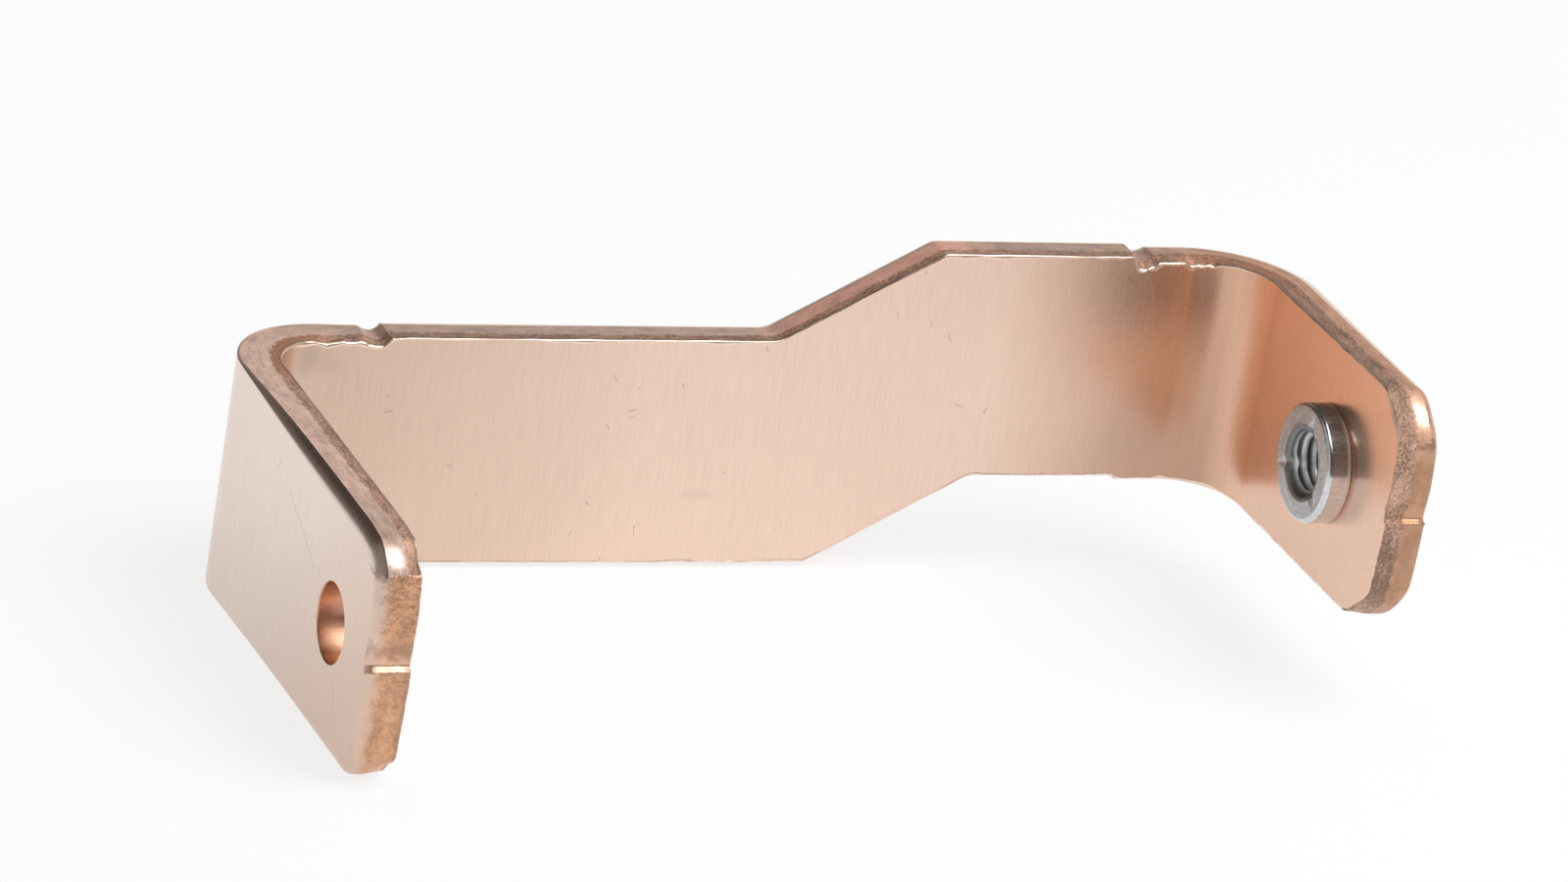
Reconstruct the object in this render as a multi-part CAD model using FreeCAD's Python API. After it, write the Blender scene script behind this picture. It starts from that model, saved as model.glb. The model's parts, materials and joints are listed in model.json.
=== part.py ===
"""Copper busbar: one stamped strip with two folded tabs and a step in its own plane,
and a steel press nut clinched into the shorter tab.

Frame: the origin is the centre of the bolt hole on the long tab's outer face.
+X runs along the web to the short tab, +Y from the tabs' ends to the web, +Z across the strip.
"""
import FreeCAD, Part
import math
import os

# Copper strip, millimetres and degrees
STRIP_WIDTH = 22.0
STRIP_THICKNESS = 4.0
OVERALL_LENGTH = 103.0
BEND_INSIDE_RADIUS = 6.0
LONG_TAB_REACH = 46.5
SHORT_TAB_REACH = 34.8
DIE_ROLL_RADIUS = 0.6

# Step of the web in its own plane
JOG_RISE = 8.7
JOG_ANGLE = 30.0
JOG_CENTRE = 63.6
JOG_OUTSIDE_RADIUS = 1.0
JOG_INSIDE_RADIUS = 3.0

# Joints between the web's cutting stroke and those of the two ends
STROKE_JOINT_SETBACK = 15.0
LONG_END_DROP = 0.2
SHORT_END_DROP = 0.3
SCALLOP_RADIUS = 1.3
UPPER_SCALLOP_DEPTH = 0.4
LOWER_SCALLOP_DEPTH = 0.3

# Parted ends of the tabs
LONG_CORNER_RADIUS = 3.0
SHORT_CORNER_RADIUS = 4.5
END_BOW = 0.9
NICK_DEPTH = 0.4
NICK_RAMP = 0.65
NICK_FADE = 3.0
NICK_OFFSET = -0.15

# Bolt hole in the long tab
BOLT_HOLE_DIAMETER = 7.0
BOLT_HOLE_SETBACK = 10.0

# Press nut in the short tab
NUT_SETBACK = 13.3
NUT_HEAD_DIAMETER = 11.0
NUT_HEAD_HEIGHT = 2.5
NUT_RIM_RADIUS = 0.5
NUT_FOOT_CHAMFER = 0.25
CLINCH_RING_DIAMETER = 10.0
CLINCH_RING_HEIGHT = 0.6
CLINCH_GROOVE_DIAMETER = 8.0
CLINCH_GROOVE_HEIGHT = 0.6
NUT_SHANK_DIAMETER = 8.7
NUT_SHANK_HEIGHT = 1.0
THREAD_MINOR_DIAMETER = 5.0
THREAD_MOUTH_DIAMETER = 7.0
THREAD_EXIT_DIAMETER = 6.4
MOUTH_HALF_ANGLE = 60.0
SEAT_CLEARANCE = 0.02

# Punched locking dents round the nut's mouth, angles seen from the long tab
DENT_ANGLES = (80.0, 202.0, 322.0)
DENT_HALF_WIDTH = 1.8
DENT_DEPTH = 0.75
DENT_RIM_MARGIN = 0.5

# Cutters stand this far outside what they cut, and places this close are the same
OVERCUT = 1.0
SAME_PLACE = 1e-6

# Places worked out from the sizes
WEB_FRONT = LONG_TAB_REACH - BOLT_HOLE_SETBACK
WEB_BACK = WEB_FRONT + STRIP_THICKNESS
LONG_END = -BOLT_HOLE_SETBACK
SHORT_END = WEB_FRONT - SHORT_TAB_REACH
BEND_OUTSIDE_RADIUS = BEND_INSIDE_RADIUS + STRIP_THICKNESS
LONG_MID = 0.0
WEB_LOW_MID = LONG_MID + LONG_END_DROP
WEB_HIGH_MID = WEB_LOW_MID + JOG_RISE
SHORT_MID = WEB_HIGH_MID - SHORT_END_DROP
LONG_JOINT_X = STROKE_JOINT_SETBACK
SHORT_JOINT_X = OVERALL_LENGTH - STROKE_JOINT_SETBACK
SHORT_INNER_X = OVERALL_LENGTH - STRIP_THICKNESS
NUT_Y = SHORT_END + NUT_SETBACK

X_AXIS = FreeCAD.Vector(1, 0, 0)
Y_AXIS = FreeCAD.Vector(0, 1, 0)
Z_AXIS = FreeCAD.Vector(0, 0, 1)


def point(x, y, z):
    return FreeCAD.Vector(x, y, z)


def prism(edges, direction):
    """Solid swept along direction from the closed outline that the edges make."""
    return Part.Face(Part.Wire(edges)).extrude(direction)


def outline(points):
    """Straight edges through the points and back to the first."""
    return Part.makePolygon(points + points[:1]).Edges


def near(a, b):
    return abs(a - b) < SAME_PLACE


def corner_plan(outer_x, joint_x, tab_end):
    """Plan of one end: tab, bend and the web as far as the stroke joint."""
    inward = 1.0 if joint_x > outer_x else -1.0
    inner_x = outer_x + inward * STRIP_THICKNESS
    bend_x = outer_x + inward * BEND_OUTSIDE_RADIUS
    bend_y = WEB_BACK - BEND_OUTSIDE_RADIUS
    far_end = tab_end - OVERCUT
    diagonal = math.sqrt(0.5)
    outer_mid = point(bend_x - inward * BEND_OUTSIDE_RADIUS * diagonal,
                      bend_y + BEND_OUTSIDE_RADIUS * diagonal, 0)
    inner_mid = point(bend_x - inward * BEND_INSIDE_RADIUS * diagonal,
                      bend_y + BEND_INSIDE_RADIUS * diagonal, 0)
    outer_start = point(outer_x, bend_y, 0)
    outer_stop = point(bend_x, WEB_BACK, 0)
    inner_start = point(bend_x, WEB_FRONT, 0)
    inner_stop = point(inner_x, bend_y, 0)
    joint_back = point(joint_x, WEB_BACK, 0)
    joint_front = point(joint_x, WEB_FRONT, 0)
    return [
        Part.LineSegment(point(outer_x, far_end, 0), outer_start).toShape(),
        Part.Arc(outer_start, outer_mid, outer_stop).toShape(),
        Part.LineSegment(outer_stop, joint_back).toShape(),
        Part.LineSegment(joint_back, joint_front).toShape(),
        Part.LineSegment(joint_front, inner_start).toShape(),
        Part.Arc(inner_start, inner_mid, inner_stop).toShape(),
        Part.LineSegment(inner_stop, point(inner_x, far_end, 0)).toShape(),
        Part.LineSegment(point(inner_x, far_end, 0), point(outer_x, far_end, 0)).toShape(),
    ]


def tab_side(tab_end, mid, corner_radius, from_x, to_x):
    """Side view of one end, with the bowed, round-cornered tab end, swept across the tab."""
    low = mid - STRIP_WIDTH / 2
    high = mid + STRIP_WIDTH / 2
    behind = WEB_BACK + OVERCUT
    bow = Part.Arc(point(from_x, tab_end + END_BOW, high),
                   point(from_x, tab_end, mid),
                   point(from_x, tab_end + END_BOW, low)).toShape()
    edges = [bow] + Part.makePolygon([
        point(from_x, tab_end + END_BOW, low),
        point(from_x, behind, low),
        point(from_x, behind, high),
        point(from_x, tab_end + END_BOW, high)]).Edges
    side = prism(edges, X_AXIS * (to_x - from_x))
    corners = [edge for edge in side.Edges
               if all(near(vertex.Y, tab_end + END_BOW) for vertex in edge.Vertexes)
               and near(edge.Length, to_x - from_x)]
    return side.makeFillet(corner_radius, corners)


def on_outside(face):
    """True for a tab's outer face, the outside of a bend and the web's back."""
    surface = face.Surface
    middle = face.CenterOfMass
    if isinstance(surface, Part.Cylinder):
        return near(surface.Radius, BEND_OUTSIDE_RADIUS) and near(abs(surface.Axis.z), 1.0)
    if not isinstance(surface, Part.Plane):
        return False
    if near(abs(surface.Axis.x), 1.0):
        return near(middle.x, 0.0) or near(middle.x, OVERALL_LENGTH)
    return near(abs(surface.Axis.y), 1.0) and near(middle.y, WEB_BACK)


def roll_outside_edges(solid, joint_planes):
    """Die roll along the sheared edges of the outside face, open at the stroke joints."""
    rolled = []
    for edge in solid.Edges:
        faces = solid.ancestorsOfType(edge, Part.Face)
        outside = [face for face in faces if on_outside(face)]
        at_joint = any(all(near(vertex.X, joint) for vertex in edge.Vertexes) for joint in joint_planes)
        if len(outside) == 1 and not at_joint:
            rolled.append(edge)
    return solid.makeFillet(DIE_ROLL_RADIUS, rolled)


def nick(tab_end, mid, from_x, to_x):
    """Wedge left where the blank was parted: a steep lower side and a long fade above it."""
    lip = mid + NICK_OFFSET
    root = lip + NICK_RAMP
    fade = root + NICK_FADE
    wedge = outline([
        point(from_x, tab_end - OVERCUT, lip),
        point(from_x, tab_end, lip),
        point(from_x, tab_end + NICK_DEPTH, root),
        point(from_x, tab_end, fade),
        point(from_x, tab_end - OVERCUT, fade)])
    return prism(wedge, X_AXIS * (to_x - from_x))


def end_zone(outer_x, joint_x, tab_end, mid, corner_radius):
    """One end of the strip: the tab with its bend and a short run of web."""
    low = mid - STRIP_WIDTH / 2
    plan = [edge.translated(point(0, 0, low)) for edge in corner_plan(outer_x, joint_x, tab_end)]
    bent = prism(plan, Z_AXIS * STRIP_WIDTH)
    from_x = min(outer_x, joint_x) - OVERCUT
    to_x = max(outer_x, joint_x) + OVERCUT
    trimmed = bent.common(tab_side(tab_end, mid, corner_radius, from_x, to_x)).Solids[0]
    rolled = roll_outside_edges(trimmed, [joint_x])
    return rolled.cut(nick(tab_end, mid, from_x, to_x))


def jogged_web():
    """Middle of the strip, stepped in its own plane at constant width."""
    half = STRIP_WIDTH / 2
    run = JOG_RISE / math.tan(math.radians(JOG_ANGLE))
    shift = half * math.tan(math.radians(JOG_ANGLE / 2))
    corners = [
        point(LONG_JOINT_X, WEB_FRONT, WEB_LOW_MID - half),
        point(JOG_CENTRE - run / 2 + shift, WEB_FRONT, WEB_LOW_MID - half),
        point(JOG_CENTRE + run / 2 + shift, WEB_FRONT, WEB_HIGH_MID - half),
        point(SHORT_JOINT_X, WEB_FRONT, WEB_HIGH_MID - half),
        point(SHORT_JOINT_X, WEB_FRONT, WEB_HIGH_MID + half),
        point(JOG_CENTRE + run / 2 - shift, WEB_FRONT, WEB_HIGH_MID + half),
        point(JOG_CENTRE - run / 2 - shift, WEB_FRONT, WEB_LOW_MID + half),
        point(LONG_JOINT_X, WEB_FRONT, WEB_LOW_MID + half)]
    web = prism(outline(corners), Y_AXIS * STRIP_THICKNESS)
    for radius, places in ((JOG_OUTSIDE_RADIUS, (corners[1], corners[5])),
                           (JOG_INSIDE_RADIUS, (corners[2], corners[6]))):
        bends = [edge for edge in web.Edges for place in places
                 if all(near(vertex.X, place.x) and near(vertex.Z, place.z) for vertex in edge.Vertexes)]
        web = web.makeFillet(radius, bends)
    return roll_outside_edges(web, [LONG_JOINT_X, SHORT_JOINT_X])


def scallop(joint_x, edge_z, depth, upward):
    """Round relief across the edge where two cutting strokes overlap."""
    centre_z = edge_z + upward * (SCALLOP_RADIUS - depth)
    start = point(joint_x, WEB_FRONT - OVERCUT, centre_z)
    return Part.makeCylinder(SCALLOP_RADIUS, STRIP_THICKNESS + 2 * OVERCUT, start, Y_AXIS)


def stroke_joint_scallops():
    half = STRIP_WIDTH / 2
    reliefs = []
    for joint_x, mid in ((LONG_JOINT_X, LONG_MID), (SHORT_JOINT_X, SHORT_MID)):
        reliefs.append(scallop(joint_x, mid + half, UPPER_SCALLOP_DEPTH, 1.0))
        reliefs.append(scallop(joint_x, mid - half, LOWER_SCALLOP_DEPTH, -1.0))
    return reliefs


def shank_profile(clearance):
    """Half section of what is pressed into the tab, as (depth below the tab's face, radius)."""
    ring = CLINCH_RING_DIAMETER / 2 + clearance
    groove = CLINCH_GROOVE_DIAMETER / 2 + clearance
    shank = NUT_SHANK_DIAMETER / 2 + clearance
    ring_depth = CLINCH_RING_HEIGHT + clearance
    groove_depth = CLINCH_RING_HEIGHT + CLINCH_GROOVE_HEIGHT - clearance
    return [(0.0, ring), (ring_depth, ring), (ring_depth, groove),
            (groove_depth, groove), (groove_depth, shank)]


def turned(half_section):
    """Solid turned about the nut's axis from (distance past the tab's inner face, radius) points."""
    section = [point(SHORT_INNER_X + along, NUT_Y + radius, SHORT_MID) for along, radius in half_section]
    face = Part.Face(Part.makePolygon(section + section[:1]))
    return face.revolve(point(0, NUT_Y, SHORT_MID), X_AXIS, 360)


def nut_seat():
    """Hole in the short tab, with the ring of copper that flows into the nut's groove."""
    wall = shank_profile(SEAT_CLEARANCE)
    open_end = STRIP_THICKNESS + OVERCUT
    section = [(-OVERCUT, 0.0), (-OVERCUT, wall[0][1])] + wall[1:]
    return turned(section + [(open_end, wall[-1][1]), (open_end, 0.0)])


def locking_dent(angle):
    """Punched groove that runs out from the mouth and dies away before the rim."""
    face_x = SHORT_INNER_X - NUT_HEAD_HEIGHT
    start = THREAD_MINOR_DIAMETER / 2
    stop = NUT_HEAD_DIAMETER / 2 - DENT_RIM_MARGIN
    root = point(face_x + DENT_DEPTH, NUT_Y - start, SHORT_MID)
    left = point(face_x, NUT_Y - start, SHORT_MID - DENT_HALF_WIDTH)
    right = point(face_x, NUT_Y - start, SHORT_MID + DENT_HALF_WIDTH)
    tip = point(face_x, NUT_Y - stop, SHORT_MID)
    sides = [(left, right, root), (left, root, tip), (right, tip, root), (left, tip, right)]
    shell = Part.Shell([Part.Face(Part.makePolygon([a, b, c, a])) for a, b, c in sides])
    dent = Part.Solid(shell)
    dent.rotate(point(face_x, NUT_Y, SHORT_MID), X_AXIS, -angle)
    return dent


def busbar_strip():
    strip = end_zone(0.0, LONG_JOINT_X, LONG_END, LONG_MID, LONG_CORNER_RADIUS)
    strip = strip.fuse([jogged_web(),
                        end_zone(OVERALL_LENGTH, SHORT_JOINT_X, SHORT_END, SHORT_MID, SHORT_CORNER_RADIUS)])
    strip = strip.removeSplitter()
    bolt_hole = Part.makeCylinder(BOLT_HOLE_DIAMETER / 2, STRIP_THICKNESS + 2 * OVERCUT,
                                  point(-OVERCUT, 0, LONG_MID), X_AXIS)
    return strip.cut(stroke_joint_scallops() + [bolt_hole, nut_seat()])


def press_nut():
    head = NUT_HEAD_DIAMETER / 2
    bore = THREAD_MINOR_DIAMETER / 2
    mouth = THREAD_MOUTH_DIAMETER / 2
    leave = THREAD_EXIT_DIAMETER / 2
    slope = math.tan(math.radians(MOUTH_HALF_ANGLE))
    length = CLINCH_RING_HEIGHT + CLINCH_GROOVE_HEIGHT + NUT_SHANK_HEIGHT
    shank = shank_profile(0.0)
    nut = turned([(-NUT_HEAD_HEIGHT, mouth), (-NUT_HEAD_HEIGHT, head),
                  (-NUT_FOOT_CHAMFER, head), (0.0, head - NUT_FOOT_CHAMFER)]
                 + shank + [(length, shank[-1][1]), (length, leave),
                            (length - (leave - bore) / slope, bore),
                            (-NUT_HEAD_HEIGHT + (mouth - bore) / slope, bore)])
    rim = [edge for edge in nut.Edges if isinstance(edge.Curve, Part.Circle)
           and near(edge.Curve.Radius, head) and near(edge.Curve.Center.x, SHORT_INNER_X - NUT_HEAD_HEIGHT)]
    nut = nut.makeFillet(NUT_RIM_RADIUS, rim)
    return nut.cut([locking_dent(angle) for angle in DENT_ANGLES])


def main():
    os.makedirs("parts", exist_ok=True)
    for name, shape in (("busbar_strip", busbar_strip()), ("press_nut", press_nut())):
        solids = shape.Solids
        print(name, "solids", len(solids), "valid", shape.isValid(), "volume", round(shape.Volume, 2),
              "box", shape.BoundBox)
        solids[0].exportStep("parts/" + name + ".step")


main()
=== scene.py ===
"""Looks of a stamped copper busbar and its clinched press nut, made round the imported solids.

Sizes are in metres, tables of marks in mm, in the frame of the solids: the origin is the bolt hole
on the long tab's outer face, +X runs along the web, +Y to the web's back and +Z across the strip.
"""
import json
import math

import bmesh
import bpy
import numpy as np
from bpy.props import FloatProperty, FloatVectorProperty, IntProperty, PointerProperty
from mathutils import Matrix, Vector
from mathutils.geometry import delaunay_2d_cdt


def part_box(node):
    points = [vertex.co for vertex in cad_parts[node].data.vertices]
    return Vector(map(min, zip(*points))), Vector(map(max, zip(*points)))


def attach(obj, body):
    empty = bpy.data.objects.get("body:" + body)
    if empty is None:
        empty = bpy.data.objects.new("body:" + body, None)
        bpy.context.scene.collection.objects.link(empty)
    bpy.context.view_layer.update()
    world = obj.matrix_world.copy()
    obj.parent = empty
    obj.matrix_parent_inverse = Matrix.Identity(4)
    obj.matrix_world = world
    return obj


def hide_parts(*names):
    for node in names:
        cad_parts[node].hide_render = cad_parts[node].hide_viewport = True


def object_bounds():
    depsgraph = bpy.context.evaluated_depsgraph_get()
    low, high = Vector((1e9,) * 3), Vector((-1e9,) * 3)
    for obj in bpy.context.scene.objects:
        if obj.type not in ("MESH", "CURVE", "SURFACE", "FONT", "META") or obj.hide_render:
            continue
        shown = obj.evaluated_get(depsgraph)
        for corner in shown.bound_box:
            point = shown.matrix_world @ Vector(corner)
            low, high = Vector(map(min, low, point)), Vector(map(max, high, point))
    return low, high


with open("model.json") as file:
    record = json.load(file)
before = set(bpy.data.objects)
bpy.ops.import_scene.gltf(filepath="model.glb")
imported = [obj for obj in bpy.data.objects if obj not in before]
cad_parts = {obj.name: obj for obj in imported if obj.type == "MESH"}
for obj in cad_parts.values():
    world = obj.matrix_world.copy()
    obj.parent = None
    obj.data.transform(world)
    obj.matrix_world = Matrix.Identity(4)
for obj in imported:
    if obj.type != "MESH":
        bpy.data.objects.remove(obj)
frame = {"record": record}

bl_info = {
    "name": "Copper busbar",
    "version": (1, 0, 0),
    "blender": (4, 5, 0),
    "location": "3D View > Sidebar > Busbar",
    "description": "Makes a folded copper busbar, its press nut and a plain studio",
    "category": "Object",
}

MM = 0.001
# Torn bites out of the upper edge beside the stroke joints, as place along the strip and depth in mm
UPPER_TEAR = ((5.5, 0.0), (8.0, 0.12), (9.0, 0.33), (9.8, 0.52), (10.4, 0.36), (11.4, 0.2), (12.0, 0.36),
              (13.0, 0.24), (13.8, 0.36), (15.0, 0.22), (16.2, 0.1), (17.5, 0.0), (86.8, 0.0), (87.6, 0.6),
              (88.4, 0.65), (89.3, 0.4), (90.5, 0.27), (92.2, 0.25), (92.6, 0.5), (93.0, 0.58), (93.6, 0.35),
              (94.2, 0.52), (95.0, 0.4), (95.6, 0.5), (96.4, 0.2), (98.5, 0.0))
# Small marks on the faces: both ends as place along the strip and height, then the width, in mm
WEB_MARKS = ((16.2, 4.0, 16.9, 4.1, 0.14), (16.1, 5.7, 16.4, 5.5, 0.1), (37.6, 7.7, 38.0, 7.0, 0.09),
             (44.3, 7.0, 44.5, 6.5, 0.09), (39.6, 4.2, 40.3, 4.4, 0.09), (39.8, 3.6, 40.1, 3.7, 0.09),
             (37.6, 2.9, 37.9, 2.5, 0.08), (36.8, -4.8, 37.0, -5.0, 0.13), (35.6, -8.0, 35.8, -7.6, 0.09),
             (41.8, -7.1, 41.9, -8.0, 0.08), (38.8, -10.2, 39.0, -10.4, 0.1), (51.9, 10.5, 52.2, 10.2, 0.12),
             (64.2, 14.2, 64.4, 13.4, 0.07), (67.7, 13.2, 67.8, 12.7, 0.08), (69.7, 11.9, 70.0, 11.2, 0.09),
             (71.4, 5.1, 72.2, 4.9, 0.09), (74.5, 4.2, 74.7, 4.6, 0.14), (85.4, 17.9, 86.2, 17.2, 0.08),
             (86.6, 17.8, 87.6, 17.0, 0.08), (90.2, 11.9, 90.3, 11.7, 0.14))
# The same on the long tab's outer face, with the place as distance from the bolt hole towards the web
TAB_MARKS = ((14.2, 6.0, 9.5, 4.2, 0.09), (9.5, 4.2, 5.6, 2.5, 0.1), (5.0, 3.0, 3.4, 2.5, 0.1),
             (-2.3, -3.4, -4.0, -7.2, 0.09), (17.4, 7.5, 18.0, 6.4, 0.12))
# Smudges on the inner face: place along the strip, height, half length and half height in mm, strength
SMUDGES = ((7.4, 9.4, 3.0, 3.0, 0.55), (10.2, 8.6, 2.2, 2.2, 0.22), (47.5, -4.0, 2.6, 0.7, 0.16),
           (23.1, -1.2, 0.5, 0.4, 0.3), (90.0, 1.5, 7.0, 8.0, 0.3))
# Polished spots of the sheared edge: place in mm, and how much smoother it is there
POLISH = (((1.6, -8.4, 10.1), 0.48), ((101.9, 3.7, 18.2), 0.34))
# Painted shade and light on the long tab's die roll, as a share of its colour, by distance from the bolt hole
# towards the web in mm
ROLL_PAINTED_SHADE = ((-10, 0.62), (2, 0.5), (14, 0.52), (22, 0.8), (30, 1.35))
# Where the sheared edge's look changes along the web: first bend, step's start and end, second bend
LOOK_PLACES = [place * MM for place in (4, 13, 51, 55, 70, 74, 84, 97)]
FIRST_BEND, STEP_START, STEP_END = LOOK_PLACES[0:2], LOOK_PLACES[2:4], LOOK_PLACES[4:6]
# Height above the nick's ledge up to which a tab's end is smooth
NICK_SMOOTH = 2.4 * MM
# Angles of the nut's locking dents, seen from the long tab
DENT_PLACES = (80.0, 202.0, 322.0)
# Form of the thread as shares of the pitch: half of the crest, and one flank
THREAD_FLAT, THREAD_FLANK = 0.14, 0.27
# Seed of the ragged edges
SEED = 41
# Steps between the points of the edges: plain, at a stroke joint, least, and round a corner
EDGE_STEP, JOINT_STEP, LEAST_STEP, CORNER_STEP = 0.3 * MM, 0.1 * MM, 0.05 * MM, 0.14 * MM
# Points along the long and the short tab's end
LONG_END_POINTS, SHORT_END_POINTS = 190, 150
# Reliefs of the upper edge are stretched by these, towards the web and towards the tab
RELIEF_WEB, RELIEF_TAB = 0.72, 1.45
# The die roll is thinner by a share in the first bend, fading out over these lengths to tab and web
PINCH, PINCH_TAB, PINCH_WEB = 0.75, 14 * MM, 8 * MM
# Step between loose points in a face, and their least distance from its borders
SPOT_STEP, SPOT_GAP = 1.0 * MM, 0.35 * MM
# Shading of the inner face: how late the second bend starts, and lean of the short tab
BEND_LAG, TAB_LEAN = 0.15, 0.045
# Seat of the nut: radius of ring and groove, depth of both
SEAT_RING, SEAT_GROOVE, RING_DEEP, GROOVE_DEEP = (size * MM for size in (5.02, 4.02, 0.62, 1.18))
# Rows of the sheared edge, from the inner face to the outer one
TORN_SHARES = (0.08, 0.19, 0.34, 0.5, 0.68, 0.86, 1.0)
BURR_ROWS, TORN_ROWS, SMOOTH_ROWS, ROLL_ROWS = 3, len(TORN_SHARES), 7, 11
FIRST_ROLL = BURR_ROWS + TORN_ROWS + SMOOTH_ROWS - 1
# Numbers of the finishes of the strip and of the nut
INNER, OUTER, SHEARED, PARTED, PUNCHED, ROLL, BURR = range(7)
FACE, SIDE, BORE = range(3)
# Points round a hole
RING = 128
TURN = np.linspace(0, 2 * math.pi, RING, endpoint=False)
CIRCLE = np.stack([np.cos(TURN), np.sin(TURN)], -1)
CAD_LOW, CAD_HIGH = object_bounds()
STRIP_LOW, STRIP_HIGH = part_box("busbar_strip")
NUT_LOW, NUT_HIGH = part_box("press_nut")
MOUNTS = {mount["name"]: mount for mount in frame["record"]["mounts"]}
BOLT_HOLE = MOUNTS["bolt_hole"]
NUT_THREAD = MOUNTS["nut_thread"]


def maker(kind, scale=1.0, **fixed):
    """Short call for properties of one kind. Plain numbers are multiplied by the scale."""
    def make(name, description, default):
        if kind is FloatProperty:
            default = default * scale
        return kind(name=name, description=description, default=default, **fixed)
    return make


DISTANCE = {"precision": 5, "subtype": "DISTANCE", "unit": "LENGTH"}
length = maker(FloatProperty, **DISTANCE)
mm = maker(FloatProperty, MM, **DISTANCE)
angle = maker(FloatProperty, math.radians(1.0), subtype="ANGLE", unit="ROTATION")
factor = maker(FloatProperty, min=0.0, max=1.0, subtype="FACTOR")
power = maker(FloatProperty, min=0.0, unit="POWER")
focal = maker(FloatProperty, subtype="DISTANCE_CAMERA", unit="CAMERA")
colour = maker(FloatVectorProperty, size=3, min=0.0, max=1.0, subtype="COLOR")
direction = maker(FloatVectorProperty, size=3, subtype="DIRECTION")
location = maker(FloatVectorProperty, size=3, subtype="TRANSLATION", unit="LENGTH")


class StripSizes(bpy.types.PropertyGroup):
    """Sizes of the folded copper strip"""
    long: length("Length", "Outside of one tab to outside of the other", STRIP_HIGH.x - STRIP_LOW.x)
    back: length("Web back", "Place of the web's back face", STRIP_HIGH.y)
    long_end: length("Long tab end", "Place of the long tab's end", STRIP_LOW.y)
    short_end: mm("Short tab end", "Place of the short tab's end", 1.7)
    width: mm("Width", "Width of the strip", 22.0)
    thick: mm("Thickness", "Thickness of the strip", BOLT_HOLE["dims"]["length_mm"])
    bend: mm("Bend radius", "Inside radius of both bends", 6.0)
    long_mid: length("Long tab middle", "Height of the long tab's middle", BOLT_HOLE["pos_m"][2])
    short_mid: length("Short tab middle", "Height of the short tab's middle", NUT_THREAD["pos_m"][2])
    jog_rise: mm("Step", "Rise of the web's step", 8.7)
    jog_angle: angle("Step angle", "Slope of the web's step", 30.0)
    jog_centre: mm("Step centre", "Place of the step along the web", 63.6)
    jog_outside: mm("Outside corner", "Radius of the step's outside corners", 1.0)
    jog_inside: mm("Inside corner", "Radius of the step's inside corners", 3.0)
    joint: mm("Stroke joint", "Outer face to the joint of two cutting strokes", 15.0)
    long_drop: mm("Long end drop", "Drop of the long end at its joint", 0.2)
    short_drop: mm("Short end drop", "Drop of the short end at its joint", 0.3)
    scallop: mm("Scallop radius", "Radius of the relief at a joint", 1.3)
    upper_scallop: mm("Upper scallop", "Depth of the reliefs in the upper edge", 0.4)
    lower_scallop: mm("Lower scallop", "Depth of the reliefs in the lower edge", 0.3)
    long_corner: mm("Long tab corners", "Corner radius of the long tab", 3.0)
    short_corner: mm("Short tab corners", "Corner radius of the short tab", 4.5)
    corner_lead: mm("Corner run-in", "Run of the long tab's upper edge down to its corner", 4.0)
    corner_drop: mm("Corner drop", "Drop of the long tab's upper corner", 0.7)
    bow: mm("End bow", "Bow of the tabs' ends", 0.9)
    nick_depth: mm("Nick depth", "Depth of the parting nick", 0.45)
    nick_ramp: mm("Nick ledge", "Height of the nick's lower side", 0.55)
    nick_fade: mm("Nick fade", "Height of the nick's upper side", 3.0)
    nick_offset: mm("Nick place", "Tab's middle to the nick's ledge", -0.15)
    roll_wide: mm("Die roll width", "Reach of the die roll over the outer face", 0.42)
    roll_end: mm("Die roll at the end", "Reach of the die roll at the long tab's corners", 1.6)
    roll_deep: mm("Die roll depth", "Reach of the die roll through the thickness", 0.95)
    torn_deep: mm("Fracture depth", "Depth of the torn zone under the inner face", 1.25)
    burr: mm("Burr", "Height of the burr along the inner edges", 0.09)
    seat: mm("Nut seat", "Radius of the hole behind the nut", 4.37)


class NutSizes(bpy.types.PropertyGroup):
    """Sizes of the clinched press nut"""
    face: length("Face", "Place of the nut's face", NUT_LOW.x)
    tail: length("Tail", "Place of the shank's end", NUT_HIGH.x)
    head: length("Head radius", "Radius of the nut's head", (NUT_HIGH.y - NUT_LOW.y) / 2)
    rim: mm("Rim radius", "Rounding of the head's rim", 0.5)
    foot: mm("Foot chamfer", "Chamfer of the head at the tab", 0.25)
    ring: mm("Clinch ring", "Radius of the clinch ring", 5.0)
    groove: mm("Clinch groove", "Radius of the clinch groove", 4.0)
    shank: mm("Shank", "Radius of the shank", 4.35)
    clinch: mm("Clinch height", "Height of the ring and of the groove", 0.6)
    minor: mm("Thread minor radius", "Radius at the thread's crests", NUT_THREAD["dims"]["r_mm"])
    major: mm("Thread major radius", "Radius at the thread's roots", 3.05)
    pitch: mm("Pitch", "Pitch of the thread", 1.0)
    mouth: mm("Mouth radius", "Radius of the rounded mouth at the face", 3.5)
    lead: mm("Lead-in", "Radius where the mouth meets the thread", 3.0)
    leave: mm("Exit radius", "Radius of the countersink at the tail", 3.2)
    leave_angle: angle("Exit angle", "Slope of the countersink at the tail", 60.0)
    dent_half: mm("Dent half width", "Half width of a locking dent", 1.15)
    dent_deep: mm("Dent depth", "Depth of a locking dent", 0.42)
    dent_reach: mm("Dent reach", "Axis to the tip of a locking dent", 5.2)
    sectors: IntProperty(name="Sectors", description="Divisions round the nut", default=192, min=24)


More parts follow.
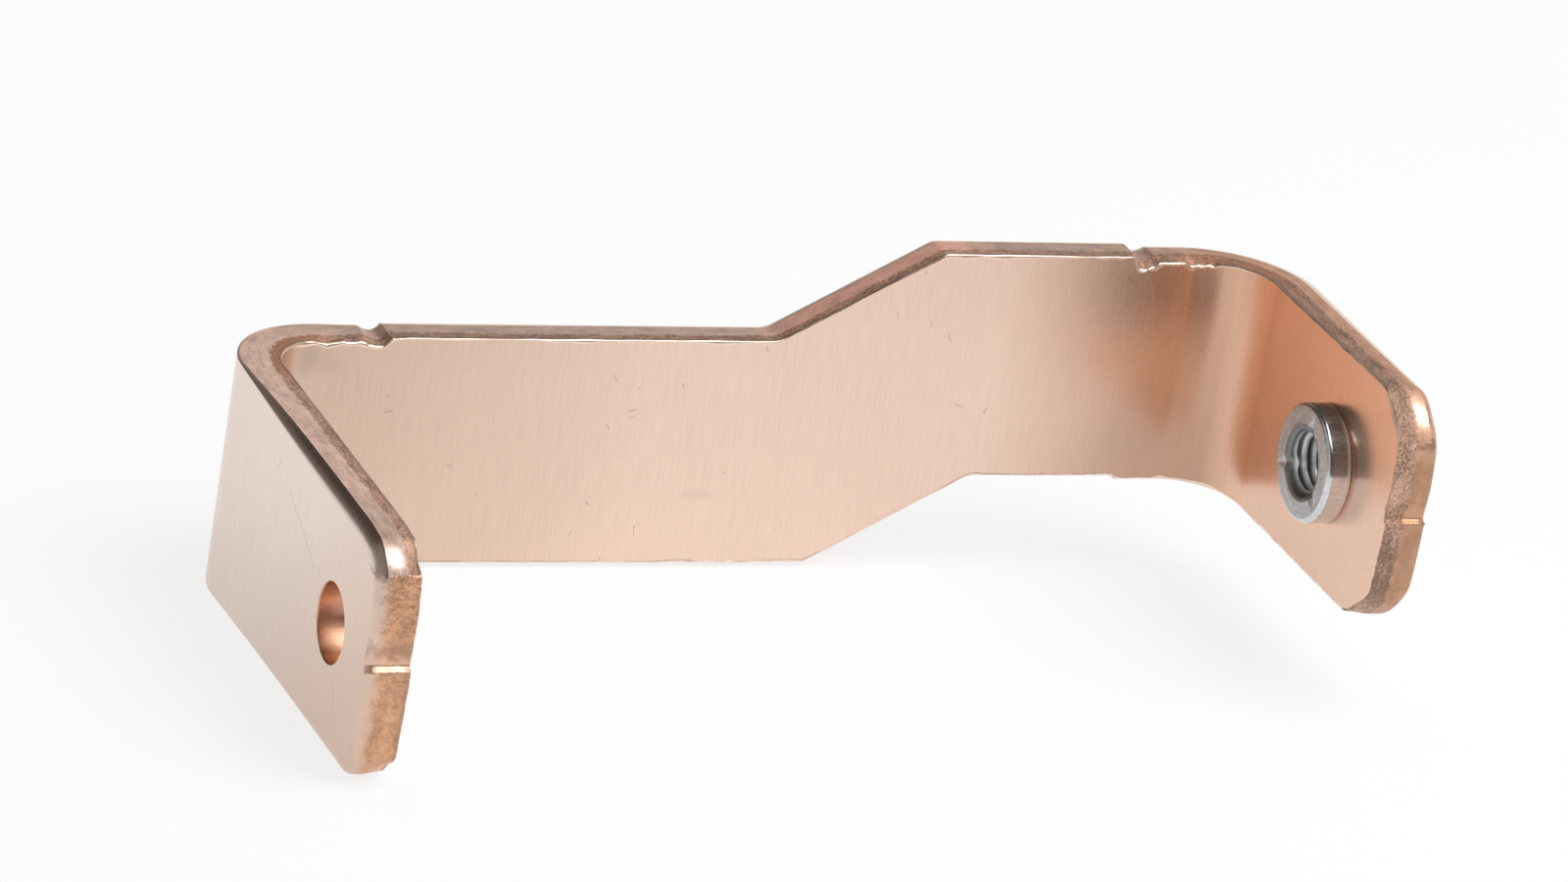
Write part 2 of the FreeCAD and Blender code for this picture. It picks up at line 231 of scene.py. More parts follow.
class Finish(bpy.types.PropertyGroup):
    """Colours of the metals"""
    inner: colour("Inner face", "Copper of the inner faces", (0.84, 0.622, 0.503))
    # Painted shade: the web is painted darker by the long tab, for the long tab and its shadow that it
    # mirrors
    shade: colour("Web by the long tab", "Duller copper near the long tab", (0.68, 0.488, 0.383))
    # Painted reflection: the web by the short tab and the short tab's inner face are painted darker and
    # redder, for the shaded, copper-lit floor between the tabs that they mirror
    stained: colour("Web by the short tab", "Stained copper at the short tab", (0.61, 0.37, 0.26))
    deep: colour("Short tab", "Redder copper of the short tab's inner face", (0.86, 0.56, 0.41))
    outer: colour("Outer face", "Copper of the outer faces", (0.80, 0.66, 0.58))
    warm: colour("Long tab's end", "Warmer copper of the outer face near the end", (0.73, 0.54, 0.43))
    burnish: colour("Burnished edge", "Smooth part of the long tab's edges", (0.90, 0.695, 0.593))
    edge: colour("Web's edge", "Smooth part of the web's edges", (0.80, 0.60, 0.51))
    tanned: colour("Short tab's edge", "Smooth part of the short tab's edges", (0.82, 0.51, 0.365))
    torn: colour("Torn edge", "Rough part of the sheared edges", (0.74, 0.47, 0.35))
    fresh: colour("Fresh copper", "Bright copper torn open in the bends", (0.66, 0.28, 0.135))
    parted: colour("Long tab's parting", "Copper of the long tab's end", (0.70, 0.39, 0.24))
    dull: colour("Short tab's parting", "Copper of the short tab's end", (0.51, 0.292, 0.186))
    punched: colour("Punched wall", "Copper of the hole's wall", (0.66, 0.385, 0.26))
    zinc: colour("Zinc plate", "Plated steel of the nut", (0.64, 0.66, 0.68))
    grain: factor("Grain", "Strength of the rolled grain", 0.02)


class Studio(bpy.types.PropertyGroup):
    """Camera and light"""
    lens: focal("Lens", "Focal length on a 36 mm sensor", 187.94)
    eye: location("Camera place", "Where the camera stands", (-0.228917, -0.597742, 0.272726))
    forward: direction("View direction", "Where the camera looks", (0.38075828, 0.85011792, -0.36376182))
    right: direction("Image right", "Way to the image's right side", (0.92466689, -0.34844678, 0.15354476))
    floor_gap: mm("Floor gap", "Lowest point of the strip to the floor", 0.2)
    room: factor("Room", "Brightness of the room above the table", 0.09)
    pale: factor("Pale wall", "Brightness of the room's pale wall, behind on the right", 0.7)
    left: factor("Left wall", "Brightness of the room's left wall", 0.4)
    haze: factor("Haze", "Brightness low down behind the table", 0.5)
    key: power("Key light", "Power of the soft key light", 4.5)
    fill: power("Top light", "Power of the light over the table", 0.6)


class Fold:
    """The strip's path: long tab, bend, web, bend, short tab. v runs along it and is x on the web."""

    def __init__(self, size):
        self.inside = size.bend
        self.left = size.bend + size.thick
        self.right = size.long - self.left
        self.bend_y = size.back - self.left
        self.arc = (size.bend + size.thick / 2) * math.pi / 2
        self.long_foot = self.left - self.arc
        self.short_foot = self.right + self.arc
        self.start = self.on_long_tab(size.long_end)
        self.stop = self.on_short_tab(size.short_end)

    def on_long_tab(self, y):
        return self.long_foot - (self.bend_y - y)

    def on_short_tab(self, y):
        return self.short_foot + (self.bend_y - y)

    def normal(self, v, lag=0.0):
        """Direction from the inner face to the outer one. With a lag the second bend starts slowly."""
        second = np.clip((v - self.right) / self.arc, 0, 1)
        second = second - lag * np.sin(np.minimum(second / 0.6, 1) * math.pi) ** 2
        turn = np.clip((v - self.left) / self.arc + 1, 0, 1) + second
        turn = turn * math.pi / 2
        return np.stack([-np.cos(turn), np.sin(turn), np.zeros_like(turn)], -1)

    def place(self, v, z, depth):
        """Points at v along the strip, height z and depth behind the inner face."""
        out = self.normal(v)
        x = np.clip(v, self.left, self.right)
        y = self.bend_y + np.minimum(v - self.long_foot, 0) - np.maximum(v - self.short_foot, 0)
        reach = self.inside + depth
        return np.stack([x + reach * out[..., 0], y + reach * out[..., 1], z], -1)


def ramp(run, half):
    """Zero, a rounded corner of that half length, then a slope of one."""
    return np.where(run < -half, 0.0, np.where(run > half, run, (run + half) ** 2 / (4 * half)))


def step(run, half):
    """Smooth step from 0 to 1 across zero."""
    share = np.clip(run / (2 * half) + 0.5, 0, 1)
    return share * share * (3 - 2 * share)


def edge_height(size, v, side):
    """Height of the strip's upper (side 1) or lower (side -1) edge."""
    slope = math.tan(size.jog_angle)
    soft = math.tan(size.jog_angle / 2)
    half_run = size.jog_rise / slope / 2
    middle = size.jog_centre - side * size.width / 2 * soft
    first, last = (size.jog_inside, size.jog_outside)[::side]
    z = size.long_mid + size.long_drop + side * size.width / 2
    z = z + slope * (ramp(v - (middle - half_run), first * soft) - ramp(v - (middle + half_run), last * soft))
    z = z - size.long_drop * step(size.joint - v, 0.1 * MM)
    z = z - size.short_drop * step(v - (size.long - size.joint), 0.1 * MM)
    depth = size.upper_scallop if side > 0 else size.lower_scallop
    joints = (size.joint, size.long_mid, 1), (size.long - size.joint, size.short_mid, -1)
    for joint, mid, web_side in joints:
        centre = mid + side * (size.width / 2 + size.scallop - depth)
        run = v - joint
        if side > 0:
            run = np.where(run * web_side > 0, run / RELIEF_WEB, run / RELIEF_TAB)
        cut = centre - side * np.sqrt(np.maximum(size.scallop ** 2 - run ** 2, 0))
        inside = np.abs(run) < size.scallop
        z = np.where(inside, np.minimum(z, cut) if side > 0 else np.maximum(z, cut), z)
    return z


def edge_stations(size, start, stop):
    """Places along an edge, closer together at the stroke joints."""
    places = [np.arange(start, stop, EDGE_STEP), [stop]]
    for joint in (size.joint, size.long - size.joint):
        places.append(np.arange(joint - 2.4 * MM, joint + 2.4 * MM, JOINT_STEP))
    places = np.unique(np.round(np.concatenate(places), 9))
    kept = [places[0]]
    for place in places[1:]:
        if place - kept[-1] > LEAST_STEP:
            kept.append(place)
    kept[-1] = stop
    return np.array(kept)


class Outline:
    """Closed outline of the unfolded blank as (v, z), with what is known about each of its points.

    end is 1 on a tab's end, round is 1 in the middle of a round corner, side is 1 on the upper long
    edge and -1 on the lower one, and lip is the height above the nick's ledge. inside is how far a
    point of an end or a corner is from the long edges. narrow and spread say how wide the die roll is.
    """

    def __init__(self, size, fold):
        self.rows = []
        top = size.width / 2
        run = edge_stations(size, fold.start + size.long_corner, fold.stop - size.short_corner)
        long_side = np.linspace(top - size.long_corner, -top + size.long_corner, LONG_END_POINTS)
        short_side = np.linspace(-top + size.short_corner, top - size.short_corner, SHORT_END_POINTS)
        self.add(run, edge_height(size, run, -1), side=-1.0)
        self.corner(fold.stop, size.short_mid - top, size.short_corner, -90)
        self.add(fold.stop, size.short_mid + short_side, end=1.0)
        self.corner(fold.stop, size.short_mid + top, size.short_corner, 0)
        self.add(run[::-1], edge_height(size, run[::-1], 1), side=1.0)
        self.corner(fold.start, size.long_mid + top, size.long_corner, 90)
        self.add(fold.start, size.long_mid + long_side, end=1.0)
        self.corner(fold.start, size.long_mid - top, size.long_corner, 180)
        v, z, self.end, self.round, self.side = np.concatenate(self.rows, 1)
        self.short = v > size.long / 2
        to_long = np.clip((fold.long_foot - v) / (fold.long_foot - fold.start), 0, 1)
        to_short = np.clip((v - fold.short_foot) / (fold.stop - fold.short_foot), 0, 1)
        middle = np.where(self.short, size.short_mid, size.long_mid)
        self.lower = z < middle
        self.inside = np.where((self.end > 0) | (self.round > 0), top - np.abs(z - middle), 0.0)
        run_in = size.long_corner + size.corner_lead
        near_end = np.clip((fold.start + run_in - v) / run_in, 0, 1)
        fade = 1 - step(self.inside - size.long_corner / 2, size.long_corner / 2)
        z -= size.corner_drop * near_end ** 2 * fade * (z > size.long_mid)
        past_bend = v - fold.left + 0.6 * fold.arc
        pinch = past_bend / np.where(past_bend < 0, PINCH_TAB, PINCH_WEB)
        self.narrow = 1 - PINCH * np.exp(-pinch ** 2)
        self.spread = (to_long + 0.4 * to_short) * (1 - 0.9 * np.clip(self.inside / (4.5 * MM) - 0.1, 0, 1))
        self.lip = np.full(len(v), -1.0)
        for place, mid, inward, ledge in ((fold.start, size.long_mid, 1.0, size.nick_ramp),
                                          (fold.stop, size.short_mid, -1.0, size.nick_ramp * 0.3)):
            near = np.clip(1 - np.abs(v - place) / (10 * MM), 0, 1)
            height = z - mid
            lip = height - size.nick_offset
            on_end = (self.end > 0.99) & (near > 0)
            self.lip[on_end] = lip[on_end]
            nick = np.where(lip < ledge, lip / ledge, 1 - (lip - ledge) / size.nick_fade)
            push = size.bow * (height / top) ** 2 + size.nick_depth * np.clip(nick, 0, 1) * on_end
            v += inward * push * np.minimum(near * 2, 1)
        self.line = np.stack([v, z], -1)

    def add(self, v, z, end=0.0, corner=0.0, side=0.0):
        self.rows.append(np.stack(np.broadcast_arrays(v, z, end, corner, side)))

    def corner(self, v, z, radius, start):
        """Round corner whose sharp corner would be at (v, z)."""
        away = math.radians(start + 45)
        v -= radius * math.copysign(1, math.cos(away))
        z -= radius * math.copysign(1, math.sin(away))
        share = np.linspace(0, 1, int(radius / CORNER_STEP))[1:-1]
        turn = np.radians(start + 90 * share)
        to_end = 1 - share if start in (0, 180) else share
        self.add(v + radius * np.cos(turn), z + radius * np.sin(turn), np.clip(to_end * 4 - 3, 0, 1),
                 np.sin(share * math.pi))


def loop_normals(line):
    """Outward direction at each point of a closed line that runs anticlockwise."""
    ahead = np.roll(line, -1, 0) - np.roll(line, 1, 0)
    for turn in range(2):
        ahead = (np.roll(ahead, 1, 0) + 2 * ahead + np.roll(ahead, -1, 0)) / 4
    out = np.stack([ahead[:, 1], -ahead[:, 0]], -1)
    return out / np.linalg.norm(out, axis=1, keepdims=True)


def inset_limit(line, out):
    """Largest inset that keeps the points of the outline in order round its outward corners."""
    run = np.linalg.norm(np.roll(line, -1, 0) - np.roll(line, 1, 0), axis=1)
    ahead, behind = np.roll(out, -1, 0), np.roll(out, 1, 0)
    turn = behind[:, 0] * ahead[:, 1] - behind[:, 1] * ahead[:, 0]
    limit = np.where(turn > 1e-3, 0.6 * run / np.maximum(turn, 1e-3), 1.0)
    for reach in range(30):
        for way in (1, -1):
            limit = np.minimum(limit, np.roll(limit, way) + 0.06 * MM)
    return limit


def sunk(outline, inset):
    """Outline moved inwards: straight across the strip on its long edges, square to itself elsewhere."""
    line, side = outline.line, outline.side
    out = loop_normals(line)
    limited = np.minimum(inset, inset_limit(line, out)[:, None])
    flat = line[:, None, :] - out[:, None, :] * limited[:, :, None]
    height = np.full(inset.shape, np.inf)
    for reach in range(-18, 19):
        near = np.roll(line, reach, 0)
        gap = inset ** 2 - (near[:, 0] - line[:, 0])[:, None] ** 2
        cut = (near[:, 1] * side)[:, None] - np.sqrt(np.maximum(gap, 0))
        height = np.minimum(height, np.where(gap >= 0, cut, np.inf))
    straight = side != 0
    flat[straight, :, 0] = line[straight, :1]
    flat[straight, :, 1] = (height * side[:, None])[straight]
    return flat


def smooth_noise(rng, count, reach):
    """Periodic noise from 0 to 1, smooth over that many points."""
    raw = rng.random(count)
    kernel = np.exp(-0.5 * (np.arange(-3 * reach, 3 * reach + 1) / reach) ** 2)
    wide = np.concatenate([raw[-3 * reach:], raw, raw[:3 * reach]])
    value = np.convolve(wide, kernel / kernel.sum(), "valid")
    return (value - value.min()) / (value.max() - value.min())


def noise_rows(rng, count, reach, rows):
    """Noise along each of some rows, smoothed a little from row to row too."""
    value = np.stack([smooth_noise(rng, count, reach) for row in range(rows)], 1)
    value[:, 1:-1] = (value[:, :-2] + 2 * value[:, 1:-1] + value[:, 2:]) / 4
    return value


class MeshParts:
    """Points, faces, texture places, normals and finishes of one piece, gathered bit by bit."""

    def __init__(self):
        self.points, self.faces, self.places, self.normals, self.finishes = [], [], [], [], []
        self.count = 0

    def add_points(self, points):
        first = self.count
        self.points.append(points.reshape(-1, 3))
        self.count += len(self.points[-1])
        return first

    def add_faces(self, corners, places, normals, finish):
        """corners has one row of point numbers a face; places and normals have one entry a corner."""
        self.faces.extend(corners.tolist())
        self.places.append(places.reshape(-1, 2))
        self.normals.append(normals.reshape(-1, 3))
        self.finishes.append(np.broadcast_to(finish, len(corners)))

    def build(self, name, finishes):
        mesh = bpy.data.meshes.new(name)
        mesh.from_pydata(np.concatenate(self.points).tolist(), [], self.faces)
        for finish in finishes:
            mesh.materials.append(finish)
        mesh.polygons.foreach_set("material_index", np.concatenate(self.finishes).astype(np.int32))
        layer = mesh.uv_layers.new(name="metal")
        layer.data.foreach_set("uv", np.concatenate(self.places).astype(np.float32).ravel())
        mesh.polygons.foreach_set("use_smooth", np.ones(len(self.faces), bool))
        mesh.update()
        mesh.normals_split_custom_set(np.concatenate(self.normals).tolist())
        if mesh.validate():
            raise RuntimeError(name + " has faulty faces")
        return put(name, mesh)


def put(name, data):
    """New object in the scene."""
    piece = bpy.data.objects.new(name, data)
    bpy.context.scene.collection.objects.link(piece)
    return piece


def grid_faces(first, columns, rows, flip=False, tube=False):
    """Quads of a grid that is closed round its columns; those of a tube are closed along the rows too."""
    c, r = np.meshgrid(np.arange(columns), np.arange(rows if tube else rows - 1), indexing="ij")
    after, above = (c + 1) % columns, (r + 1) % rows
    corners = np.stack([c * rows + r, c * rows + above, after * rows + above, after * rows + r], -1)
    return first + corners.reshape(-1, 4)[:, ::-1 if flip else 1]


def corner_values(values, flip=False, close=True):
    """Values of a grid at each quad's corners, in the order of grid_faces."""
    if close:
        values = np.concatenate([values, values[:1]])
    corners = np.stack([values[:-1, :-1], values[:-1, 1:], values[1:, 1:], values[1:, :-1]], 2)
    return corners.reshape(-1, 4, values.shape[-1])[:, ::-1 if flip else 1]


def grid_normals(points, flip=False):
    """Smooth normals of a grid that is closed round its columns."""
    along = np.roll(points, -1, 0) - np.roll(points, 1, 0)
    out = np.cross(np.gradient(points, axis=1), along) * (-1 if flip else 1)
    return out / np.maximum(np.linalg.norm(out, axis=-1, keepdims=True), 1e-12)


def grid_places(across, down):
    """Texture places of a grid from its places across the columns and down the rows."""
    return np.stack(np.broadcast_arrays(across[:, None], down), -1)


def fill(groups, spots):
    """Triangles between an outline, the rings of its holes and loose points, all in one plane."""
    starts = np.cumsum([0] + [len(group) for group in groups])
    edges = []
    for start, group in zip(starts, groups):
        numbers = start + np.arange(len(group))
        edges += np.stack([numbers, np.roll(numbers, -1)], -1).tolist()
    points = np.concatenate(groups + [spots]) / MM
    found = delaunay_2d_cdt([Vector(point) for point in points], edges, [], 1, 1e-7)
    if len(found[0]) != len(points):
        raise RuntimeError("the outline of a face crosses itself")
    order = np.array([source[0] for source in found[3]])
    corners = order[np.array(found[2])]
    for start, stop in zip(starts[1:], starts[2:]):
        in_hole = ((corners >= start) & (corners < stop)).all(1)
        corners = corners[~in_hole]
    a, b, c = (points[corners[:, i]] for i in range(3))
    area = (b - a)[:, 0] * (c - a)[:, 1] - (b - a)[:, 1] * (c - a)[:, 0]
    corners[area < 0] = corners[area < 0][:, ::-1]
    return corners[np.abs(area) > 1e-9]


def face_spots(fold, loop, holes, heights):
    """Loose points inside a face: close together in the bends, wide apart on the flats."""
    v = np.concatenate([np.linspace(fold.start, fold.long_foot, 42)[:-1],
                        np.linspace(fold.long_foot, fold.left, 33),
                        np.linspace(fold.left, fold.right, 86)[1:-1],
                        np.linspace(fold.right, fold.short_foot, 33),
                        np.linspace(fold.short_foot, fold.stop, 31)[1:]])
    spots = np.stack(np.meshgrid(v, heights, indexing="ij"), -1).reshape(-1, 2)
    gap = np.full(len(spots), 1.0)
    for part in np.array_split(loop, 20):
        gap = np.minimum(gap, np.linalg.norm(spots[:, None] - part[None], axis=2).min(1))
    inside = np.zeros(len(spots), bool)
    for a, b in zip(loop, np.roll(loop, -1, 0)):
        spans = (a[1] > spots[:, 1]) != (b[1] > spots[:, 1])
        if a[1] != b[1]:
            cross = a[0] + (spots[:, 1] - a[1]) / (b[1] - a[1]) * (b[0] - a[0])
            inside ^= spans & (spots[:, 0] < cross)
    keep = inside & (gap > SPOT_GAP)
    for centre, radius in holes:
        keep &= np.linalg.norm(spots - centre, axis=1) > radius + SPOT_GAP
    return spots[keep]


def edge_rows(size, rng, outline):
    """Depth and inset of each row of the sheared edge, from the inner face to the outer one."""
    end, corner = outline.end, outline.round
    v, z = outline.line.T
    count = len(v)
    upper = z > np.interp(v, [size.joint, size.long], [5 * MM, 12 * MM])
    tear = np.interp(v / MM, *np.transpose(UPPER_TEAR)) * (0.75 + 0.5 * smooth_noise(rng, count, 2))
    tear = (upper * tear + 0.05 * smooth_noise(rng, count, 3)) * MM
    burr = size.burr * smooth_noise(rng, count, 2) * (0.4 + 0.6 * smooth_noise(rng, count, 9))
    wide = (0.08 + 0.32 * smooth_noise(rng, count, 2) * smooth_noise(rng, count, 6)) * MM
    lip = np.stack([np.zeros(count), -burr, 0.1 * wide - 0.2 * burr], 1)
    lip_inset = np.stack([tear + 1.7 * wide, tear + wide, tear + 0.45 * wide], 1)
    torn = np.array(TORN_SHARES) * size.torn_deep
    roll_wide = (size.roll_wide * outline.narrow + (size.roll_end - size.roll_wide) * outline.spread)[:, None]
    crease = math.radians(35) * (1 - np.maximum(corner, end))[:, None]
    turn = crease + (math.pi / 2 - crease) * np.linspace(0, 1, ROLL_ROWS + 1)[None, 1:]
    rise = (np.sin(turn) - np.sin(crease)) / (1 - np.sin(crease))
    fall = (np.cos(crease) - np.cos(turn)) / np.cos(crease)
    low = size.torn_deep + 0.12 * MM
    roll_deep = (size.roll_deep * outline.narrow)[:, None]
    smooth = low + (size.thick - roll_deep - low) * np.linspace(0, 1, SMOOTH_ROWS)
    depth = np.concatenate([np.broadcast_to(torn, (count, TORN_ROWS)), smooth,
                            size.thick - roll_deep + roll_deep * rise], 1)
    inset = np.concatenate([np.zeros((count, TORN_ROWS + SMOOTH_ROWS)), roll_wide * fall], 1)
    height = np.concatenate([np.full(TORN_ROWS, 0.07), np.full(SMOOTH_ROWS, 0.012),
                             np.linspace(0.012, 0, ROLL_ROWS)]) * MM
    coarse = end * np.where((outline.lip > 0) & (outline.lip < NICK_SMOOTH), 0.2, 1.0)
    for turns in range(6):
        coarse = (np.roll(coarse, 1) + coarse + np.roll(coarse, -1)) / 3
    rough = noise_rows(rng, count, 2, depth.shape[1])
    inset += rough * height * (1 + coarse[:, None] * (height > 0.01 * MM))
    away = np.abs(depth - 0.6 * size.thick)
    ball = np.where(away < 1.2 * MM, 0.15 * away ** 2 / MM, 0.36 * away - 0.216 * MM)
    inset += ball * corner[:, None] ** 2
    inset += tear[:, None] * np.clip(1 - depth / (size.torn_deep * 1.15), 0, 1) ** 1.5
    lip_inset += (ball[:, 0] * corner ** 2)[:, None]
    return np.concatenate([lip, depth], 1), np.concatenate([lip_inset, inset], 1)


def hole_walls(size):
    """Wall of the bolt hole and of the nut's seat, as (depth, radius) from the inner face."""
    bolt = BOLT_HOLE["dims"]["r_mm"] * MM
    thick = size.thick
    soft = 0.12 * MM
    bolt_wall = [(0.0, bolt + soft), (0.4 * soft, bolt + 0.4 * soft), (soft * 1.5, bolt),
                 (thick / 3, bolt), (thick * 2 / 3, bolt), (thick - soft * 1.5, bolt),
                 (thick - 0.4 * soft, bolt + 0.4 * soft), (thick, bolt + soft)]
    seat_wall = [(0.0, SEAT_RING), (RING_DEEP, SEAT_RING), (RING_DEEP, SEAT_GROOVE),
                 (GROOVE_DEEP, SEAT_GROOVE), (GROOVE_DEEP, size.seat), (thick - 2 * soft, size.seat),
                 (thick, size.seat + soft)]
    return np.array(bolt_wall), np.array(seat_wall)


def band_finishes(size, rng, outline, quad_row, rolled):
    """Finish of each quad of the sheared edge."""
    rows = quad_row.max() + 1
    ragged = noise_rows(rng, len(outline.line), 3, rows)
    corner_size = np.where(outline.short, size.short_corner, size.long_corner)
    at_end = (outline.inside[:, None] + (ragged - 0.5) * 1.6 * MM > 0.78 * corner_size[:, None]).ravel()
    at_corner = np.repeat(outline.round > 0.2, rows) & ~at_end
    at_short = np.repeat(outline.short, rows)
    lower = np.repeat(outline.lower, rows)
    finishes = np.where(at_end | (at_corner & lower), PARTED, np.where(quad_row < BURR_ROWS, BURR, SHEARED))
    finishes[rolled & ~at_end & ~(at_short & at_corner)] = ROLL
    # Only the upper edges' die roll takes its painted shade; the lower ones take the outer face's finish
    finishes[(finishes == ROLL) & lower] = OUTER
    return finishes


def strip_mesh(size):
    """Mesh of the whole strip: two faces, the sheared edge round them and the walls of two holes."""
    rng = np.random.default_rng(SEED)
    fold = Fold(size)
    outline = Outline(size, fold)
    line = outline.line
    depth, inset = edge_rows(size, rng, outline)
    flat = sunk(outline, inset)
    band = fold.place(flat[..., 0], flat[..., 1], depth)
    columns, rows = depth.shape
    parts = MeshParts()
    first = parts.add_points(band)
    quads = grid_faces(first, columns, rows)
    perimeter = np.append(0, np.cumsum(np.linalg.norm(np.roll(line, -1, 0) - line, axis=1)))
    wall_place = corner_values(grid_places(perimeter, np.concatenate([depth, depth[:1]])), close=False)
    face_place = corner_values(flat)
    quad_row = np.tile(np.arange(rows - 1), columns)
    rolled = quad_row >= FIRST_ROLL
    roll_normals = grid_normals(band[:, FIRST_ROLL:])
    roll_normals[:, -1] = fold.normal(flat[:, -1, 0])
    normals = np.empty((len(quads), 4, 3))
    normals[rolled] = corner_values(roll_normals)
    normals[~rolled] = corner_values(grid_normals(band[:, :FIRST_ROLL + 1]))
    finishes = band_finishes(size, rng, outline, quad_row, rolled)
    for finish in (OUTER, SHEARED, PARTED, ROLL, BURR):
        chosen = finishes == finish
        place = face_place if finish in (OUTER, ROLL) else wall_place
        parts.add_faces(quads[chosen], place[chosen], normals[chosen], finish)
    centres = (np.array([fold.on_long_tab(BOLT_HOLE["pos_m"][1]), size.long_mid]),
               np.array([fold.on_short_tab(NUT_THREAD["pos_m"][1]), size.short_mid]))
    walls = hole_walls(size)
    firsts = []
    for centre, wall in zip(centres, walls):
        spot = centre + CIRCLE[:, None, :] * wall[None, :, 1, None]
        points = fold.place(spot[..., 0], spot[..., 1], wall[:, 0])
        firsts.append(parts.add_points(points))
        place = grid_places(np.append(TURN, 2 * math.pi) * wall[-2, 1], wall[:, 0])
        parts.add_faces(grid_faces(firsts[-1], RING, len(wall), True), corner_values(place, True, False),
                        corner_values(grid_normals(points, True), True), PUNCHED)
    heights = np.arange(line[:, 1].min(), line[:, 1].max(), SPOT_STEP)
    for row, finish in ((0, INNER), (-1, OUTER)):
        holes = [(centre, wall[row, 1]) for centre, wall in zip(centres, walls)]
        groups = [flat[:, row]] + [centre + CIRCLE * radius for centre, radius in holes]
        numbers = [first + np.arange(columns) * rows + row % rows]
        for number, wall in zip(firsts, walls):
            numbers.append(number + np.arange(RING) * len(wall) + row % len(wall))
        spots = face_spots(fold, flat[:, row], holes, heights)
        depth_here = np.full(len(spots), 0.0 if finish == INNER else size.thick)
        numbers.append(parts.add_points(fold.place(spots[:, 0], spots[:, 1], depth_here))
                       + np.arange(len(spots)))
        corners = fill(groups, spots)
        if finish == OUTER:
            corners = corners[:, ::-1]
        place = np.concatenate(groups + [spots])[corners]
        if finish == OUTER:
            face_normals = fold.normal(place[..., 0])
        else:
            face_normals = -fold.normal(place[..., 0], BEND_LAG)
            face_normals[..., 2] += TAB_LEAN * np.clip((place[..., 0] - fold.right) / fold.arc, 0, 1)
        parts.add_faces(np.concatenate(numbers)[corners], place, face_normals, finish)
    return parts


def nut_mesh(size, strip):
    """Mesh of the press nut: one closed sheet turned about its axis, with a cut thread and three dents."""
    inner = strip.long - strip.thick
    sharp, break_edge = 0.02 * MM, 0.1 * MM
    rows = [(x, size.minor, BORE) for x in np.linspace(size.tail, size.face, 96)]
    rows += [(size.face, r, FACE) for r in np.linspace(size.mouth, size.head - size.rim, 18)[1:]]
    side = [(size.face + size.rim * (1 - math.cos(t)), size.head - size.rim + size.rim * math.sin(t))
            for t in np.radians(np.linspace(0, 90, 10)[1:])]
    side += [(x, size.head) for x in np.linspace(size.face + size.rim, inner - size.foot, 6)[1:]]
    side += [(inner - sharp, size.head - size.foot), (inner, size.head - size.foot - sharp),
             (inner, size.ring), (inner + size.clinch, size.ring), (inner + size.clinch, size.groove),
             (inner + 2 * size.clinch, size.groove), (inner + 2 * size.clinch, size.shank),
             (size.tail - break_edge, size.shank), (size.tail, size.shank - break_edge)]
    rows += [(x, r, SIDE) for x, r in side]
    around = np.linspace(0, 2 * math.pi, size.sectors, endpoint=False)
    theta = around[:, None]
    x, r, kind = np.transpose(rows)
    is_bore = kind == BORE
    columns, count = size.sectors, len(rows)
    phase = np.mod(x / size.pitch - theta / (2 * math.pi), 1.0)
    groove = np.clip((np.abs(phase - 0.5) - THREAD_FLAT) / THREAD_FLANK, 0, 1)
    thread = size.minor + (size.major - size.minor) * groove
    blunt = size.mouth - size.lead
    run = (x - size.face) / blunt
    mouth = np.where(run < 1, size.mouth - blunt * np.sqrt(np.maximum(1 - (1 - run) ** 2, 0)),
                     size.lead + blunt * (1 - run))
    leave = size.leave - (size.tail - x) * math.tan(size.leave_angle)
    bore = np.maximum(np.maximum(thread, mouth), leave)
    r = np.where(is_bore, bore, r)
    dent, bulge = np.zeros_like(r), np.zeros_like(r)
    for place in DENT_PLACES:
        swing = theta - math.radians(place)
        ahead = np.cos(swing) > 0
        share = (1 - (r * np.cos(swing) - size.minor) / (size.dent_reach - size.minor)
                 - np.abs(r * np.sin(swing)) / size.dent_half)
        dent = np.maximum(dent, np.where(ahead, np.clip(share, 0, 1), 0) * size.dent_deep)
        push = np.exp(-(np.sin(swing) * size.mouth / (0.75 * MM)) ** 2) * ahead
        bulge = np.maximum(bulge, push * 0.32 * MM * np.exp(-((x - size.face - 0.9 * MM) / (0.9 * MM)) ** 2))
    r = np.where(is_bore, np.maximum(bore - bulge, size.minor * 0.9), r)
    x = x + dent * np.where(is_bore, np.clip(1 - (x - size.face) / (1.1 * MM), 0, 1), kind == FACE)
    axis_y, axis_z = NUT_THREAD["pos_m"][1:]
    points = np.stack([x, axis_y - r * np.cos(theta), axis_z + r * np.sin(theta)], -1)
    parts = MeshParts()
    first = parts.add_points(points)
    place = grid_places(np.append(around, 2 * math.pi) * size.head, np.arange(count + 1) * 0.05 * MM)
    normals = grid_normals(np.concatenate([points, points[:, :1]], 1))
    parts.add_faces(grid_faces(first, columns, count, tube=True), corner_values(place, close=False),
                    corner_values(normals), np.tile(kind, columns))
    return parts


def toned(tone, share):
    """Colour made lighter or darker, with no part of it over 1."""
    return tuple(min(1.0, part * share) for part in tone)


def between(a, b, share):
    """Colour that lies that share of the way from a to b."""
    return tuple((1 - share) * x + share * y for x, y in zip(a, b))


